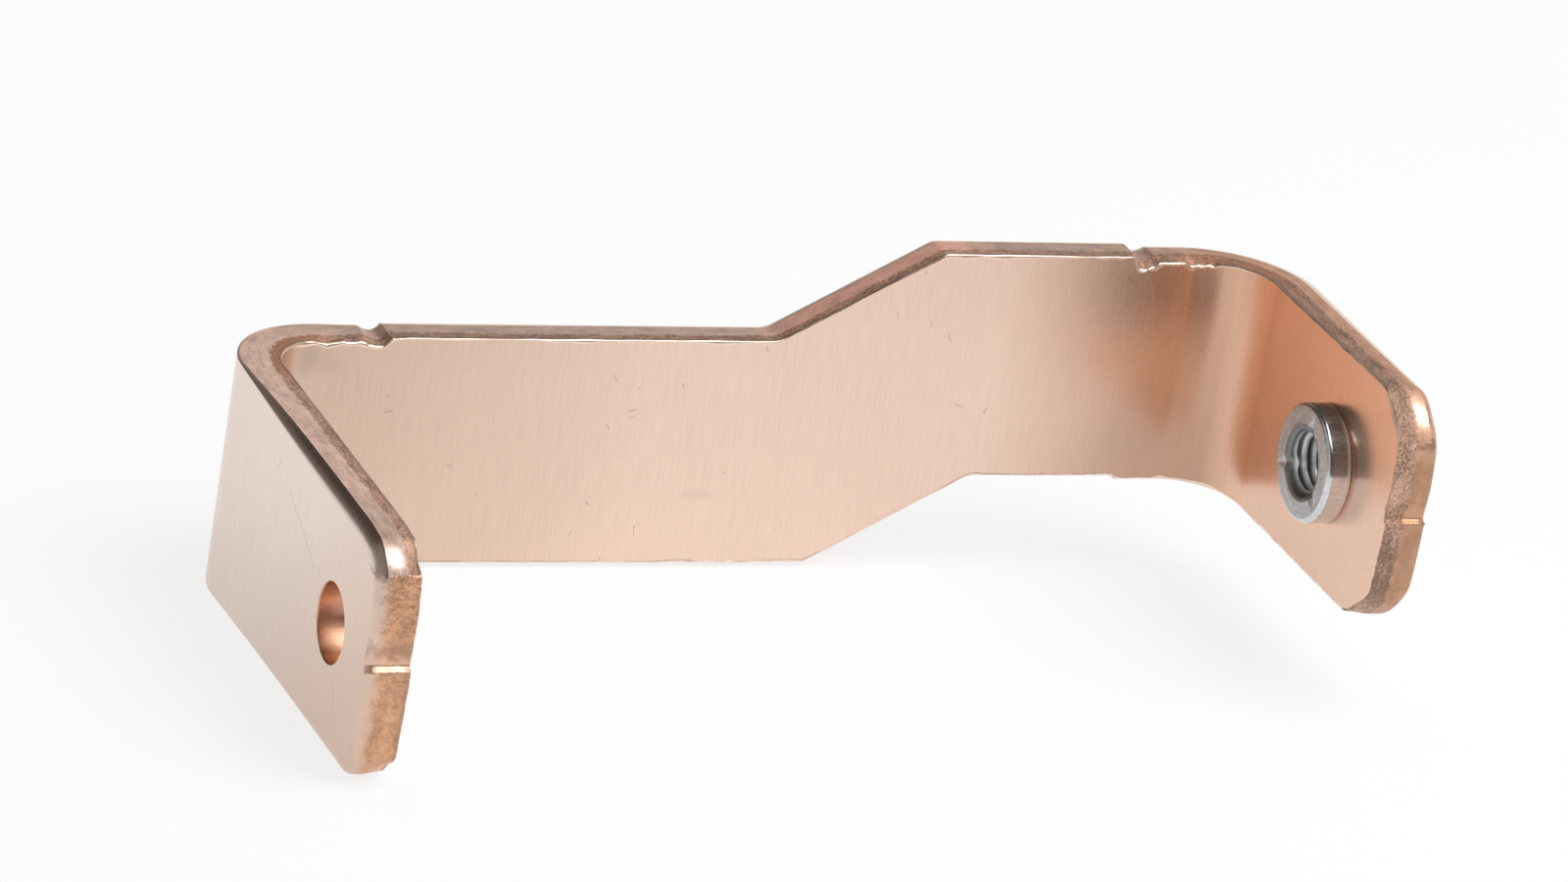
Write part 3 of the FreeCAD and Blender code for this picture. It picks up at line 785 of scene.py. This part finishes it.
class Value:
    """A number, colour or vector in a node tree. Arithmetic with it adds nodes."""

    def __init__(self, graph, socket):
        self.graph, self.socket = graph, socket

    def __add__(self, other):
        return self.graph.math("ADD", self, other)

    def __sub__(self, other):
        return self.graph.math("SUBTRACT", self, other)

    def __mul__(self, other):
        return self.graph.math("MULTIPLY", self, other)

    def most(self, other):
        return self.graph.math("MAXIMUM", self, other)

    def remap(self, low, high, to_low=0.0, to_high=1.0, smooth=False):
        """Runs from to_low to to_high while this runs from low to high, and stays there beyond."""
        return self.graph.read("ShaderNodeMapRange", {"Value": self, "From Min": low, "From Max": high,
                                                      "To Min": to_low, "To Max": to_high},
                               interpolation_type="SMOOTHSTEP" if smooth else "LINEAR")

    def spread(self, low, high):
        """Runs from low to high while this runs from 0 to 1."""
        return self.remap(0.0, 1.0, low, high)

    def jitter(self, reach):
        """Noise turned into a shift of up to that reach both ways."""
        return self.remap(0.2, 0.8, -reach, reach)


class Graph:
    """Node tree of a material or of the world, with short calls for the nodes that are used here."""

    def __init__(self, owner):
        owner.use_nodes = True
        self.owner, self.tree = owner, owner.node_tree
        self.tree.nodes.clear()

    def add(self, kind, inputs=None, **settings):
        node = self.tree.nodes.new(kind)
        for name, value in settings.items():
            setattr(node, name, value)
        for name, value in (inputs or {}).items():
            if isinstance(value, Value):
                self.tree.links.new(value.socket, node.inputs[name])
            else:
                node.inputs[name].default_value = value
        return node

    def read(self, kind, inputs=None, output=0, **settings):
        """New node, of which one output is used."""
        return Value(self, self.add(kind, inputs, **settings).outputs[output])

    def outputs(self, node, *names):
        return [Value(self, node.outputs[name]) for name in names]

    def place(self):
        return self.read("ShaderNodeUVMap", uv_map="metal")

    def here(self):
        return self.read("ShaderNodeTexCoord", output="Object")

    def split(self, vector):
        return self.outputs(self.add("ShaderNodeSeparateXYZ", {0: vector}), "X", "Y", "Z")

    def scaled(self, vector, x, y):
        return self.read("ShaderNodeMapping", {"Vector": vector, "Scale": (x, y, 1.0)})

    def noise(self, vector, x, y, detail=2.0, rough=0.5):
        """Noise with that many spots a metre each way."""
        return self.read("ShaderNodeTexNoise", {"Vector": self.scaled(vector, x, y), "Scale": 1.0,
                                                "Detail": detail, "Roughness": rough})

    def cloud(self, vector, x, y, detail=3.0, rough=0.55):
        """The same, stretched to run from 0 to 1."""
        return self.noise(vector, x, y, detail, rough).remap(0.33, 0.67)

    def math(self, operation, a, b, **settings):
        return self.read("ShaderNodeMath", {0: a, 1: b}, operation=operation, **settings)

    def vector(self, operation, a, b=(0.0, 0.0, 0.0)):
        number = operation in ("DOT_PRODUCT", "DISTANCE", "LENGTH")
        return self.read("ShaderNodeVectorMath", {0: a, 1: b}, 1 if number else 0, operation=operation)

    def times(self, vector, share):
        return self.read("ShaderNodeVectorMath", {0: vector, "Scale": share}, operation="SCALE")

    def mix(self, share, a, b):
        """Colour between two others, each a value or a plain colour."""
        a, b = (tone if isinstance(tone, Value) else tuple(tone) + (1.0,) for tone in (a, b))
        return self.read("ShaderNodeMix", {0: share, 6: a, 7: b}, 2, data_type="RGBA")

    def blend(self, share, a, b):
        return self.read("ShaderNodeMix", {0: share, 2: a, 3: b}, data_type="FLOAT")

    def shade(self, value, tone, amount):
        """Plain colour made darker and lighter by a value from 0 to 1."""
        return self.mix(value, toned(tone, 1 - amount), toned(tone, 1 + amount))

    def vary(self, tone, value, amount):
        """Colour value made darker and lighter by noise."""
        return self.times(tone, value.remap(0.2, 0.8, 1 - amount, 1 + amount))

    def ramp(self, value, stops):
        """Colour that runs through the stops, each a value and a colour, in rising order."""
        low, high = stops[0][0], stops[-1][0]
        node = self.add("ShaderNodeValToRGB", {0: value.remap(low, high)})
        points = node.color_ramp.elements
        while len(points) < len(stops):
            points.new(0.5)
        for point, (at, tone) in zip(points, stops):
            point.position = (at - low) / (high - low)
            point.color = tuple(tone) + (1.0,)
        return Value(self, node.outputs[0])

    def bump(self, height, strength, distance):
        return self.read("ShaderNodeBump", {"Height": height, "Strength": strength, "Distance": distance})

    def seen(self):
        """1 for camera, glossy and transmission rays, 0 for the rest."""
        camera, glossy, through = self.outputs(self.add("ShaderNodeLightPath"), "Is Camera Ray",
                                               "Is Glossy Ray", "Is Transmission Ray")
        return camera.most(glossy).most(through)

    def scratch(self, vector, start, stop, wide):
        """1 on a straight hairline between two places, 0 away from it."""
        run = tuple(b - a for a, b in zip(start, stop)) + (0.0,)
        away = self.vector("SUBTRACT", vector, start + (0.0,))
        share = self.math("MULTIPLY", self.vector("DOT_PRODUCT", away, run), 1 / (run[0] ** 2 + run[1] ** 2),
                          use_clamp=True)
        gap = self.vector("DISTANCE", away, self.times(run, share))
        return gap.remap(0.0, wide, 1.0, 0.0, True)

    def finish(self, shader, output="ShaderNodeOutputMaterial"):
        self.add(output, {"Surface": shader})
        return self.owner

    def metal(self, base, roughness, normal, **brushed):
        return self.finish(self.read("ShaderNodeBsdfPrincipled", {
            "Base Color": base, "Metallic": 1.0, "Roughness": roughness, "Normal": normal, **brushed}))


def rolled_copper(name, stops, lean, painted_light_slopes, matt, grain_strength, marks=(), smudges=(), clean=None):
    """Rolled face: streaks across the strip, soft stains, small pits and a few hairlines.

    The colour runs through the stops along the strip; lean tilts that direction across it. The slopes
    are painted light and shade across the strip: how much lighter the upper edge is painted, on the web and
    on the short tab. Where a clean colour is given, the long tab's outer face keeps it and the stops start
    below that face.
    """
    graph = Graph(bpy.data.materials.new(name))
    place = graph.place()
    along = graph.vector("DOT_PRODUCT", place, (1.0, lean, 0.0))
    grain = graph.noise(place, 5200, 170, 3.0)
    fine = graph.noise(place, 9000, 420)
    stain = graph.noise(place, 70, 60, 3.0)
    cells = graph.add("ShaderNodeTexVoronoi", {"Vector": place, "Scale": 420.0})
    gap, chance = graph.outputs(cells, "Distance", "Color")
    rare = graph.read("ShaderNodeSeparateColor", {0: chance}).remap(0.8, 0.88)
    worn = gap.remap(0.02, 0.07, 1.0, 0.0, True) * rare
    for start, stop, wide in marks:
        worn = worn.most(graph.scratch(place, start, stop, wide))
    texture = graph.blend(0.4, grain, fine)
    cloudy = graph.blend(0.5, stain, texture)
    tone = graph.ramp(along, stops)
    if clean:
        below = graph.split(graph.here())[0] + texture.remap(0.3, 0.7, -0.12 * MM, 0.12 * MM)
        tone = graph.mix(below.remap(0.05 * MM, 0.6 * MM, smooth=True), clean, tone)
    tone = graph.vary(tone, cloudy, 0.07)
    tone = graph.vary(tone, graph.cloud(place, 6400, 230), 0.03)
    # Painted light and shade: the colour is painted lighter or darker from the lower edge to the upper one
    across = graph.split(place)[1].remap(-11 * MM, 20 * MM, -0.55, 0.45)
    slope = along.remap(76 * MM, 96 * MM, painted_light_slopes[0], painted_light_slopes[1], True)
    tone = graph.times(tone, across * slope + 1.0)
    dirty = toned(stops[1][1], 0.42)
    tone = graph.mix(worn * 0.6, tone, dirty)
    for v, z, half_long, half_high, strength in smudges:
        away = graph.vector("SUBTRACT", place, (v * MM, z * MM, 0.0))
        gap = graph.vector("LENGTH", graph.scaled(away, 1 / (half_long * MM), 1 / (half_high * MM)))
        dirt = gap.remap(0.0, 1.0, strength, 0.0, True) * stain.remap(0.3, 0.6, 0.6, 1.0)
        tone = graph.mix(dirt, tone, dirty)
    rough = cloudy.remap(0.2, 0.8, matt, matt + 0.1)
    normal = graph.bump(texture * 0.5 - worn * 1.2, grain_strength, 0.02 * MM)
    tangent = graph.read("ShaderNodeTangent", direction_type="UV_MAP", uv_map="metal")
    return graph.metal(tone, rough, normal, Anisotropic=0.45, Tangent=tangent)


def sheared_copper(name, look, torn_deep):
    """Sheared edge: a burnished band, and a torn one under the inner face with a ragged border."""
    graph = Graph(bpy.data.materials.new(name))
    place = graph.place()
    deep = graph.split(place)[1]
    here = graph.here()
    along, out = graph.split(here)[:2]
    to_short = along.remap(86 * MM, 97 * MM, smooth=True)
    folded = out.remap(25 * MM, 33 * MM, smooth=True)
    at_left = along.remap(12 * MM, 4 * MM, smooth=True)
    at_right = along.remap(88 * MM, 95 * MM, 0.0, 0.5, True)
    in_bend = folded * at_left.most(at_right)
    ragged = graph.noise(place, 2200, 1500, 4.0, 0.7)
    wander = graph.noise(place, 170, 1)
    speckle = graph.cloud(place, 3000, 3400, 3.0, 0.6)
    streaks = graph.cloud(place, 160, 3200)
    blotch = graph.cloud(place, 420, 800, 4.0, 0.6)
    grained = graph.blend(0.5, speckle, streaks)
    worn = graph.blend(0.5, blotch, grained)
    border = wander.remap(0.3, 0.7, torn_deep - 0.25 * MM, torn_deep + 0.15 * MM) + to_short * (0.6 * MM)
    inside = deep + ragged.jitter(0.4 * MM) - border
    torn = inside.remap(-0.1 * MM, 0.1 * MM, 1.0, 0.0, True)
    # Painted light: the step's smooth edge is painted lighter, where it mirrors the dark room
    step_painted_light = tuple(c * share for c, share in zip(look.tanned, (1.16, 1.2, 1.36)))
    worn_edge = toned(look.edge, 0.9)
    smooth = graph.ramp(along, list(zip(LOOK_PLACES, (
        look.burnish, look.edge, look.edge, step_painted_light, step_painted_light, worn_edge, worn_edge, look.tanned))))
    smooth = graph.vary(smooth, worn, 0.22)
    smooth = graph.times(smooth, out.remap(4 * MM, -7 * MM, 1.0, 0.8))
    grime = toned(look.edge, 0.3)
    smooth = graph.mix(speckle.remap(0.78, 1.0, 0.0, 0.5), smooth, grime)
    dim, dark = toned(look.torn, 0.74), toned(look.torn, 0.7)
    broken = graph.ramp(along, list(zip(LOOK_PLACES, (
        look.torn, dim, dim, look.torn, look.torn, dim, dim, dark))))
    broken = graph.vary(broken, graph.blend(0.45, speckle, blotch), 0.36)
    broken = graph.mix(in_bend * blotch.remap(0.2, 0.7, 0.4, 1.0), broken, look.fresh)
    broken = graph.mix(deep.remap(0.15 * MM, 0.55 * MM, 0.45, 0.0), broken, grime)
    # Painted shade: the torn zone is painted darker towards the long tab's end, against the key light's glare
    # on its corners
    broken = graph.times(broken, out.remap(-5 * MM, -9 * MM, 1.0, 0.5))
    tone = graph.mix(torn, smooth, broken)
    matt = along.remap(*FIRST_BEND, 0.78, 0.6)
    for spot, smoother in POLISH:
        gap = graph.vector("DISTANCE", here, [part * MM for part in spot])
        gap = gap + speckle.spread(-0.3 * MM, 0.3 * MM)
        matt = matt - gap.remap(0.6 * MM, 1.6 * MM, smoother, 0.0, True)
    on_step = along.remap(*STEP_START, 0.0, 0.16) * along.remap(*STEP_END, 1.0, 0.0)
    matt = matt + on_step + worn.spread(0.12, -0.1)
    rough = graph.blend(torn, matt, speckle.spread(0.5, 0.68))
    relief = graph.blend(torn, grained * 0.4, speckle)
    return graph.metal(tone, rough, graph.bump(relief, 0.7, 0.06 * MM))


def parted_copper(name, look, size):
    """Tab end: broken off and mottled. The short tab's has a dark break under its inner face.

    Both have a bright nick across their middle, with a ragged dark border above it.
    """
    graph = Graph(bpy.data.materials.new(name))
    place = graph.place()
    deep = graph.split(place)[1]
    along, height = graph.split(graph.here())[::2]
    to_short = along.remap(40 * MM, 60 * MM)
    ragged = graph.noise(place, 900, 900, 4.0, 0.7)
    mottle = graph.cloud(place, 1500, 1900, 4.0, 0.65)
    patch = graph.cloud(place, 330, 600)
    facets = graph.cloud(place, 3800, 3800, 3.0, 0.6)
    inside = deep + ragged.jitter(0.5 * MM) - to_short.spread(0.35 * MM, 1.75 * MM)
    torn = inside.remap(-0.1 * MM, 0.1 * MM, 1.0, 0.0, True) * to_short.spread(0.4, 1.0)
    value = graph.blend(0.5, mottle, patch)
    whole = graph.mix(to_short, graph.shade(value, look.parted, 0.34), graph.shade(value, look.dull, 0.3))
    pale = deep + ragged.jitter(0.7 * MM) - (to_short * (3 * MM) + 3 * MM)
    pale = pale.remap(-0.6 * MM, 0.6 * MM, 0.0, 0.85, True)
    face = graph.mix(height.remap(-8 * MM, 8 * MM, 0.0, 0.8), look.warm, look.outer)
    whole = graph.mix(pale, whole, face)
    above = height - to_short.spread(size.long_mid + size.nick_offset, size.short_mid + size.nick_offset)
    rim = above + ragged.jitter(0.9 * MM)
    nick = above.remap(-0.05 * MM, 0.05 * MM) * rim.remap(0.6 * MM, 1.9 * MM, 0.9, 0.0, True)
    crack = rim.remap(1.0 * MM, 1.7 * MM, 0.0, 0.5, True) * rim.remap(1.9 * MM, 3.0 * MM, 1.0, 0.0, True)
    dark, light = toned(look.torn, 0.45), toned(look.torn, 1.15)
    whole = graph.mix(crack * to_short.spread(1.0, 0.3), whole, dark)
    bright = graph.mix(to_short, between(look.parted, look.burnish, 0.4), toned(look.parted, 0.9))
    whole = graph.mix(nick, whole, bright)
    corner = rim.remap(5.2 * MM, 7.6 * MM, 0.0, 0.9, True) * to_short
    whole = graph.mix(corner, whole, look.tanned)
    flakes = graph.blend(0.4, facets, patch) + above.remap(-3.0 * MM, 3.0 * MM, -0.22, 0.08)
    tone = graph.mix(torn, whole, graph.mix(flakes.remap(0.25, 0.8), dark, light))
    rough = graph.blend(torn, mottle.spread(0.3, 0.46), facets.spread(0.5, 0.32))
    calm = (to_short * 0.8).most(pale.most(nick)) * torn.spread(1.0, 0.0)
    relief = graph.blend(calm, graph.blend(torn, mottle, facets), 0.5)
    return graph.metal(tone, rough, graph.bump(relief, 0.8, 0.1 * MM))


def punched_copper(name, base, low, high):
    """Wall of a punched hole or of a burr: bright, with fine lines along the stroke."""
    graph = Graph(bpy.data.materials.new(name))
    place = graph.place()
    lines = graph.cloud(place, 4200, 350)
    blotch = graph.cloud(place, 700, 900, 2.0)
    tone = graph.shade(graph.blend(0.5, lines, blotch), base, 0.14)
    normal = graph.bump(graph.blend(0.4, lines, blotch), 0.25, 0.03 * MM)
    return graph.metal(tone, blotch.spread(low, high), normal)


def zinc_plate(name, base, low, high, relief, roots=0.0):
    """Zinc plate over turned steel. The roots of its thread get painted shade, darker by that share."""
    graph = Graph(bpy.data.materials.new(name))
    place = graph.place()
    mottle = graph.cloud(place, 3000, 2400, 4.0, 0.7)
    turned = graph.blend(0.7, graph.cloud(place, 150, 7000, 2.0), mottle)
    tone = graph.shade(turned, base, 0.16 + 0.26 * relief)
    away = graph.vector("SUBTRACT", graph.here(), [0.0] + list(NUT_THREAD["pos_m"][1:]))
    away = graph.vector("LENGTH", graph.vector("MULTIPLY", away, (0.0, 1.0, 1.0)))
    # Painted shade: the thread's roots are painted nearly black, for the shade between its turns
    tone = graph.mix(away.remap(2.55 * MM, 3.0 * MM, 0.0, roots, True), tone, (0.05, 0.05, 0.045))
    return graph.metal(tone, mottle.spread(low, high), graph.bump(turned, relief, 0.05 * MM))


def hairlines(table, along=float):
    """Marks from a table in mm as two places and a width; along gives the place along the strip."""
    return [((along(a * MM), b * MM), (along(c * MM), d * MM), wide * MM) for a, b, c, d, wide in table]


class BUSBAR_OT_strip(bpy.types.Operator):
    """Make the folded copper strip with its sheared edges and holes"""
    bl_idname = "busbar.make_strip"
    bl_label = "Make copper strip"

    def execute(self, context):
        size, look = context.scene.busbar_strip, context.scene.busbar_finish
        fold = Fold(size)
        tab = fold.on_long_tab
        # The inner face's stops carry painted shade by the long tab, painted reflection of the shaded floor
        # by the short tab, and painted light towards the short tab's end
        inner_stops = ((12 * MM, look.shade), (42 * MM, look.inner), (75 * MM, look.inner),
                       (91 * MM, look.stained), (98.5 * MM, toned(look.stained, 0.93)),
                       (103 * MM, look.deep), (fold.stop, between(look.deep, look.burnish, 0.3)))
        outer_stops = ((fold.start, look.warm), (tab(16 * MM), look.outer))
        rolled = between(look.outer, look.warm, 0.6)
        # Painted shade: the die roll is painted darker along the tab, for the dark band that it mirrors, and
        # painted lighter near the bend
        roll_shade_stops = [(tab(place * MM), toned(rolled, share)) for place, share in ROLL_PAINTED_SHADE]
        # Painted light and shade across the strip: the outer faces and the die roll are painted lighter
        # towards their upper edge all along; the inner face is painted a little lighter towards its lower
        # edge on the web and lighter towards its upper edge on the short tab
        even = (0.12, 0.12)
        finishes = [rolled_copper("copper_inner_face", inner_stops, 0.0, (-0.09, 0.32), 0.22, look.grain,
                                  hairlines(WEB_MARKS), SMUDGES),
                    rolled_copper("copper_outer_face", outer_stops, 1.2, even, 0.22, look.grain / 2,
                                  hairlines(TAB_MARKS, tab)),
                    sheared_copper("copper_sheared_edge", look, size.torn_deep),
                    parted_copper("copper_parted_end", look, size),
                    punched_copper("copper_punched_wall", look.punched, 0.3, 0.44),
                    rolled_copper("copper_die_roll", roll_shade_stops, 0.0, even, 0.32, 0.0,
                                  clean=tuple(look.outer)),
                    punched_copper("copper_burr", toned(look.inner, 1.1), 0.25, 0.4)]
        piece = strip_mesh(size).build("strip", finishes)
        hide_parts("busbar_strip")
        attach(piece, "root")
        return {"FINISHED"}


class BUSBAR_OT_nut(bpy.types.Operator):
    """Make the clinched press nut with its thread and locking dents"""
    bl_idname = "busbar.make_press_nut"
    bl_label = "Make press nut"

    def execute(self, context):
        zinc = context.scene.busbar_finish.zinc
        finishes = [zinc_plate("zinc_face", toned(zinc, 0.86), 0.34, 0.56, 0.9),
                    zinc_plate("zinc_turned_side", zinc, 0.14, 0.26, 0.06),
                    zinc_plate("zinc_thread", toned(zinc, 1.25), 0.46, 0.56, 0.06, 0.75)]
        piece = nut_mesh(context.scene.busbar_nut, context.scene.busbar_strip).build("nut", finishes)
        piece.data.set_sharp_from_angle(angle=math.radians(40))
        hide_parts("press_nut")
        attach(piece, "root")
        return {"FINISHED"}


def lamp(name, place, aim, wide, watts, seen_in_metal):
    data = bpy.data.lights.new(name, "AREA")
    data.shape = "SQUARE"
    data.size = wide
    data.energy = watts
    light = put(name, data)
    light.location = place
    light.rotation_mode = "QUATERNION"
    light.rotation_quaternion = (aim - place).to_track_quat("-Z", "Y")
    light.visible_camera = False
    light.visible_glossy = seen_in_metal


def plain_piece(name, shape, material, place):
    """Piece of the stage from a finished shape."""
    mesh = bpy.data.meshes.new(name)
    shape.to_mesh(mesh)
    shape.free()
    mesh.materials.append(material)
    piece = put(name, mesh)
    piece.location = place
    return piece


def white_table():
    """White paper: matt for the light, and almost even white where it is seen or mirrored."""
    graph = Graph(bpy.data.materials.new("white_table"))
    matt = graph.read("ShaderNodeBsdfDiffuse", {"Color": (0.92, 0.92, 0.92, 1.0)})
    glow = graph.read("ShaderNodeEmission", {"Color": (1.0, 1.0, 1.0, 1.0), "Strength": 1.0})
    return graph.finish(graph.read("ShaderNodeMixShader", {0: graph.seen() * 0.8, 1: matt, 2: glow}))


def dark_room(studio):
    """Room that the metal mirrors: dark, with a pale wall, a left wall and haze low down behind."""
    graph = Graph(bpy.data.materials.new("dark_room"))
    spot = graph.here()
    x, y, z = graph.split(spot)
    right_behind = graph.vector("DOT_PRODUCT", spot, (0.75, 0.65, 0.1))
    pale = right_behind.remap(0.62, 0.8, 0.0, studio.pale, True) * z.remap(0.6, 0.4, smooth=True)
    behind = y.remap(0.0, 0.5) * x.remap(-0.35, 0.05, 0.15, 1.0)
    haze = z.remap(0.0, 0.36, studio.haze, 0.0, True) * behind
    left = x.remap(-0.35, -0.65, 0.0, studio.left, True) * y.remap(0.6, 0.2)
    bright = pale.most(haze).most(left)
    tint = graph.mix(bright.remap(0.0, 0.4), (1.0, 0.86, 0.78), (1.0, 0.98, 0.96))
    return graph.finish(graph.read("ShaderNodeEmission", {"Color": tint, "Strength": bright + studio.room}))


def white_world():
    """White all round, and weaker as light than where it is seen or mirrored."""
    graph = Graph(bpy.data.worlds.new("studio"))
    back = graph.read("ShaderNodeBackground", {"Color": (1.0, 1.0, 1.0, 1.0),
                                               "Strength": graph.seen().spread(0.3, 1.0)})
    return graph.finish(back, "ShaderNodeOutputWorld")


class BUSBAR_OT_stage(bpy.types.Operator):
    """Set the pale floor, the room round it, the lamps and the camera"""
    bl_idname = "busbar.set_stage"
    bl_label = "Set stage"

    def execute(self, context):
        scene = context.scene
        studio = scene.busbar_studio
        floor_z = CAD_LOW.z - studio.floor_gap
        shape = bmesh.new()
        bmesh.ops.create_circle(shape, cap_ends=True, segments=96, radius=3.0)
        table = plain_piece("table", shape, white_table(), (0.0, 0.0, floor_z))

        shape = bmesh.new()
        bmesh.ops.create_uvsphere(shape, u_segments=64, v_segments=32, radius=1.0)
        low = [vert for vert in shape.verts if vert.co.z < -0.02]
        bmesh.ops.delete(shape, geom=low, context="VERTS")
        room = plain_piece("room", shape, dark_room(studio), (CAD_HIGH.x / 2, 0.0, floor_z))
        room.visible_camera = False
        room.visible_diffuse = False
        room.visible_shadow = False
        room.visible_transmission = False

        scene.world = white_world()
        middle = (CAD_LOW + CAD_HIGH) / 2
        key_way = Vector((0.40, -0.30, 0.866)).normalized()
        lamp("key_light", middle + key_way * 0.7, middle, 0.58, studio.key, True)
        lamp("top_light", middle + Vector((0.0, -0.05, 0.8)), middle, 0.7, studio.fill, False)

        data = bpy.data.cameras.new("camera")
        data.lens = studio.lens
        data.sensor_width = 36.0
        data.clip_start = 0.01
        camera = put("camera", data)
        right, ahead = Vector(studio.right), Vector(studio.forward)
        turn = Matrix((right, right.cross(ahead), -ahead)).transposed().to_4x4()
        camera.matrix_world = Matrix.Translation(Vector(studio.eye)) @ turn
        scene.camera = camera
        scene.view_settings.view_transform = "Standard"
        return {"FINISHED"}


class BUSBAR_PT_panel(bpy.types.Panel):
    """Sizes, finishes and steps of the busbar"""
    bl_idname = "BUSBAR_PT_panel"
    bl_label = "Copper busbar"
    bl_space_type = "VIEW_3D"
    bl_region_type = "UI"
    bl_category = "Busbar"

    def draw(self, context):
        for name, group in GROUPS.items():
            box = self.layout.box()
            for size_name in group.__annotations__:
                box.prop(getattr(context.scene, name), size_name)
        for step_class in STEPS:
            self.layout.operator(step_class.bl_idname)


STEPS = (BUSBAR_OT_strip, BUSBAR_OT_nut, BUSBAR_OT_stage)
GROUPS = {"busbar_strip": StripSizes, "busbar_nut": NutSizes, "busbar_finish": Finish,
          "busbar_studio": Studio}


def register():
    for group in GROUPS.values():
        bpy.utils.register_class(group)
    for name, group in GROUPS.items():
        setattr(bpy.types.Scene, name, PointerProperty(type=group))
    for step_class in STEPS + (BUSBAR_PT_panel,):
        bpy.utils.register_class(step_class)


def unregister():
    for step_class in (BUSBAR_PT_panel,) + STEPS[::-1]:
        bpy.utils.unregister_class(step_class)
    for name in GROUPS:
        delattr(bpy.types.Scene, name)
    for group in GROUPS.values():
        bpy.utils.unregister_class(group)


def main():
    register()
    bpy.ops.busbar.set_stage()
    bpy.ops.busbar.make_strip()
    bpy.ops.busbar.make_press_nut()


if __name__ == "__main__":
    main()
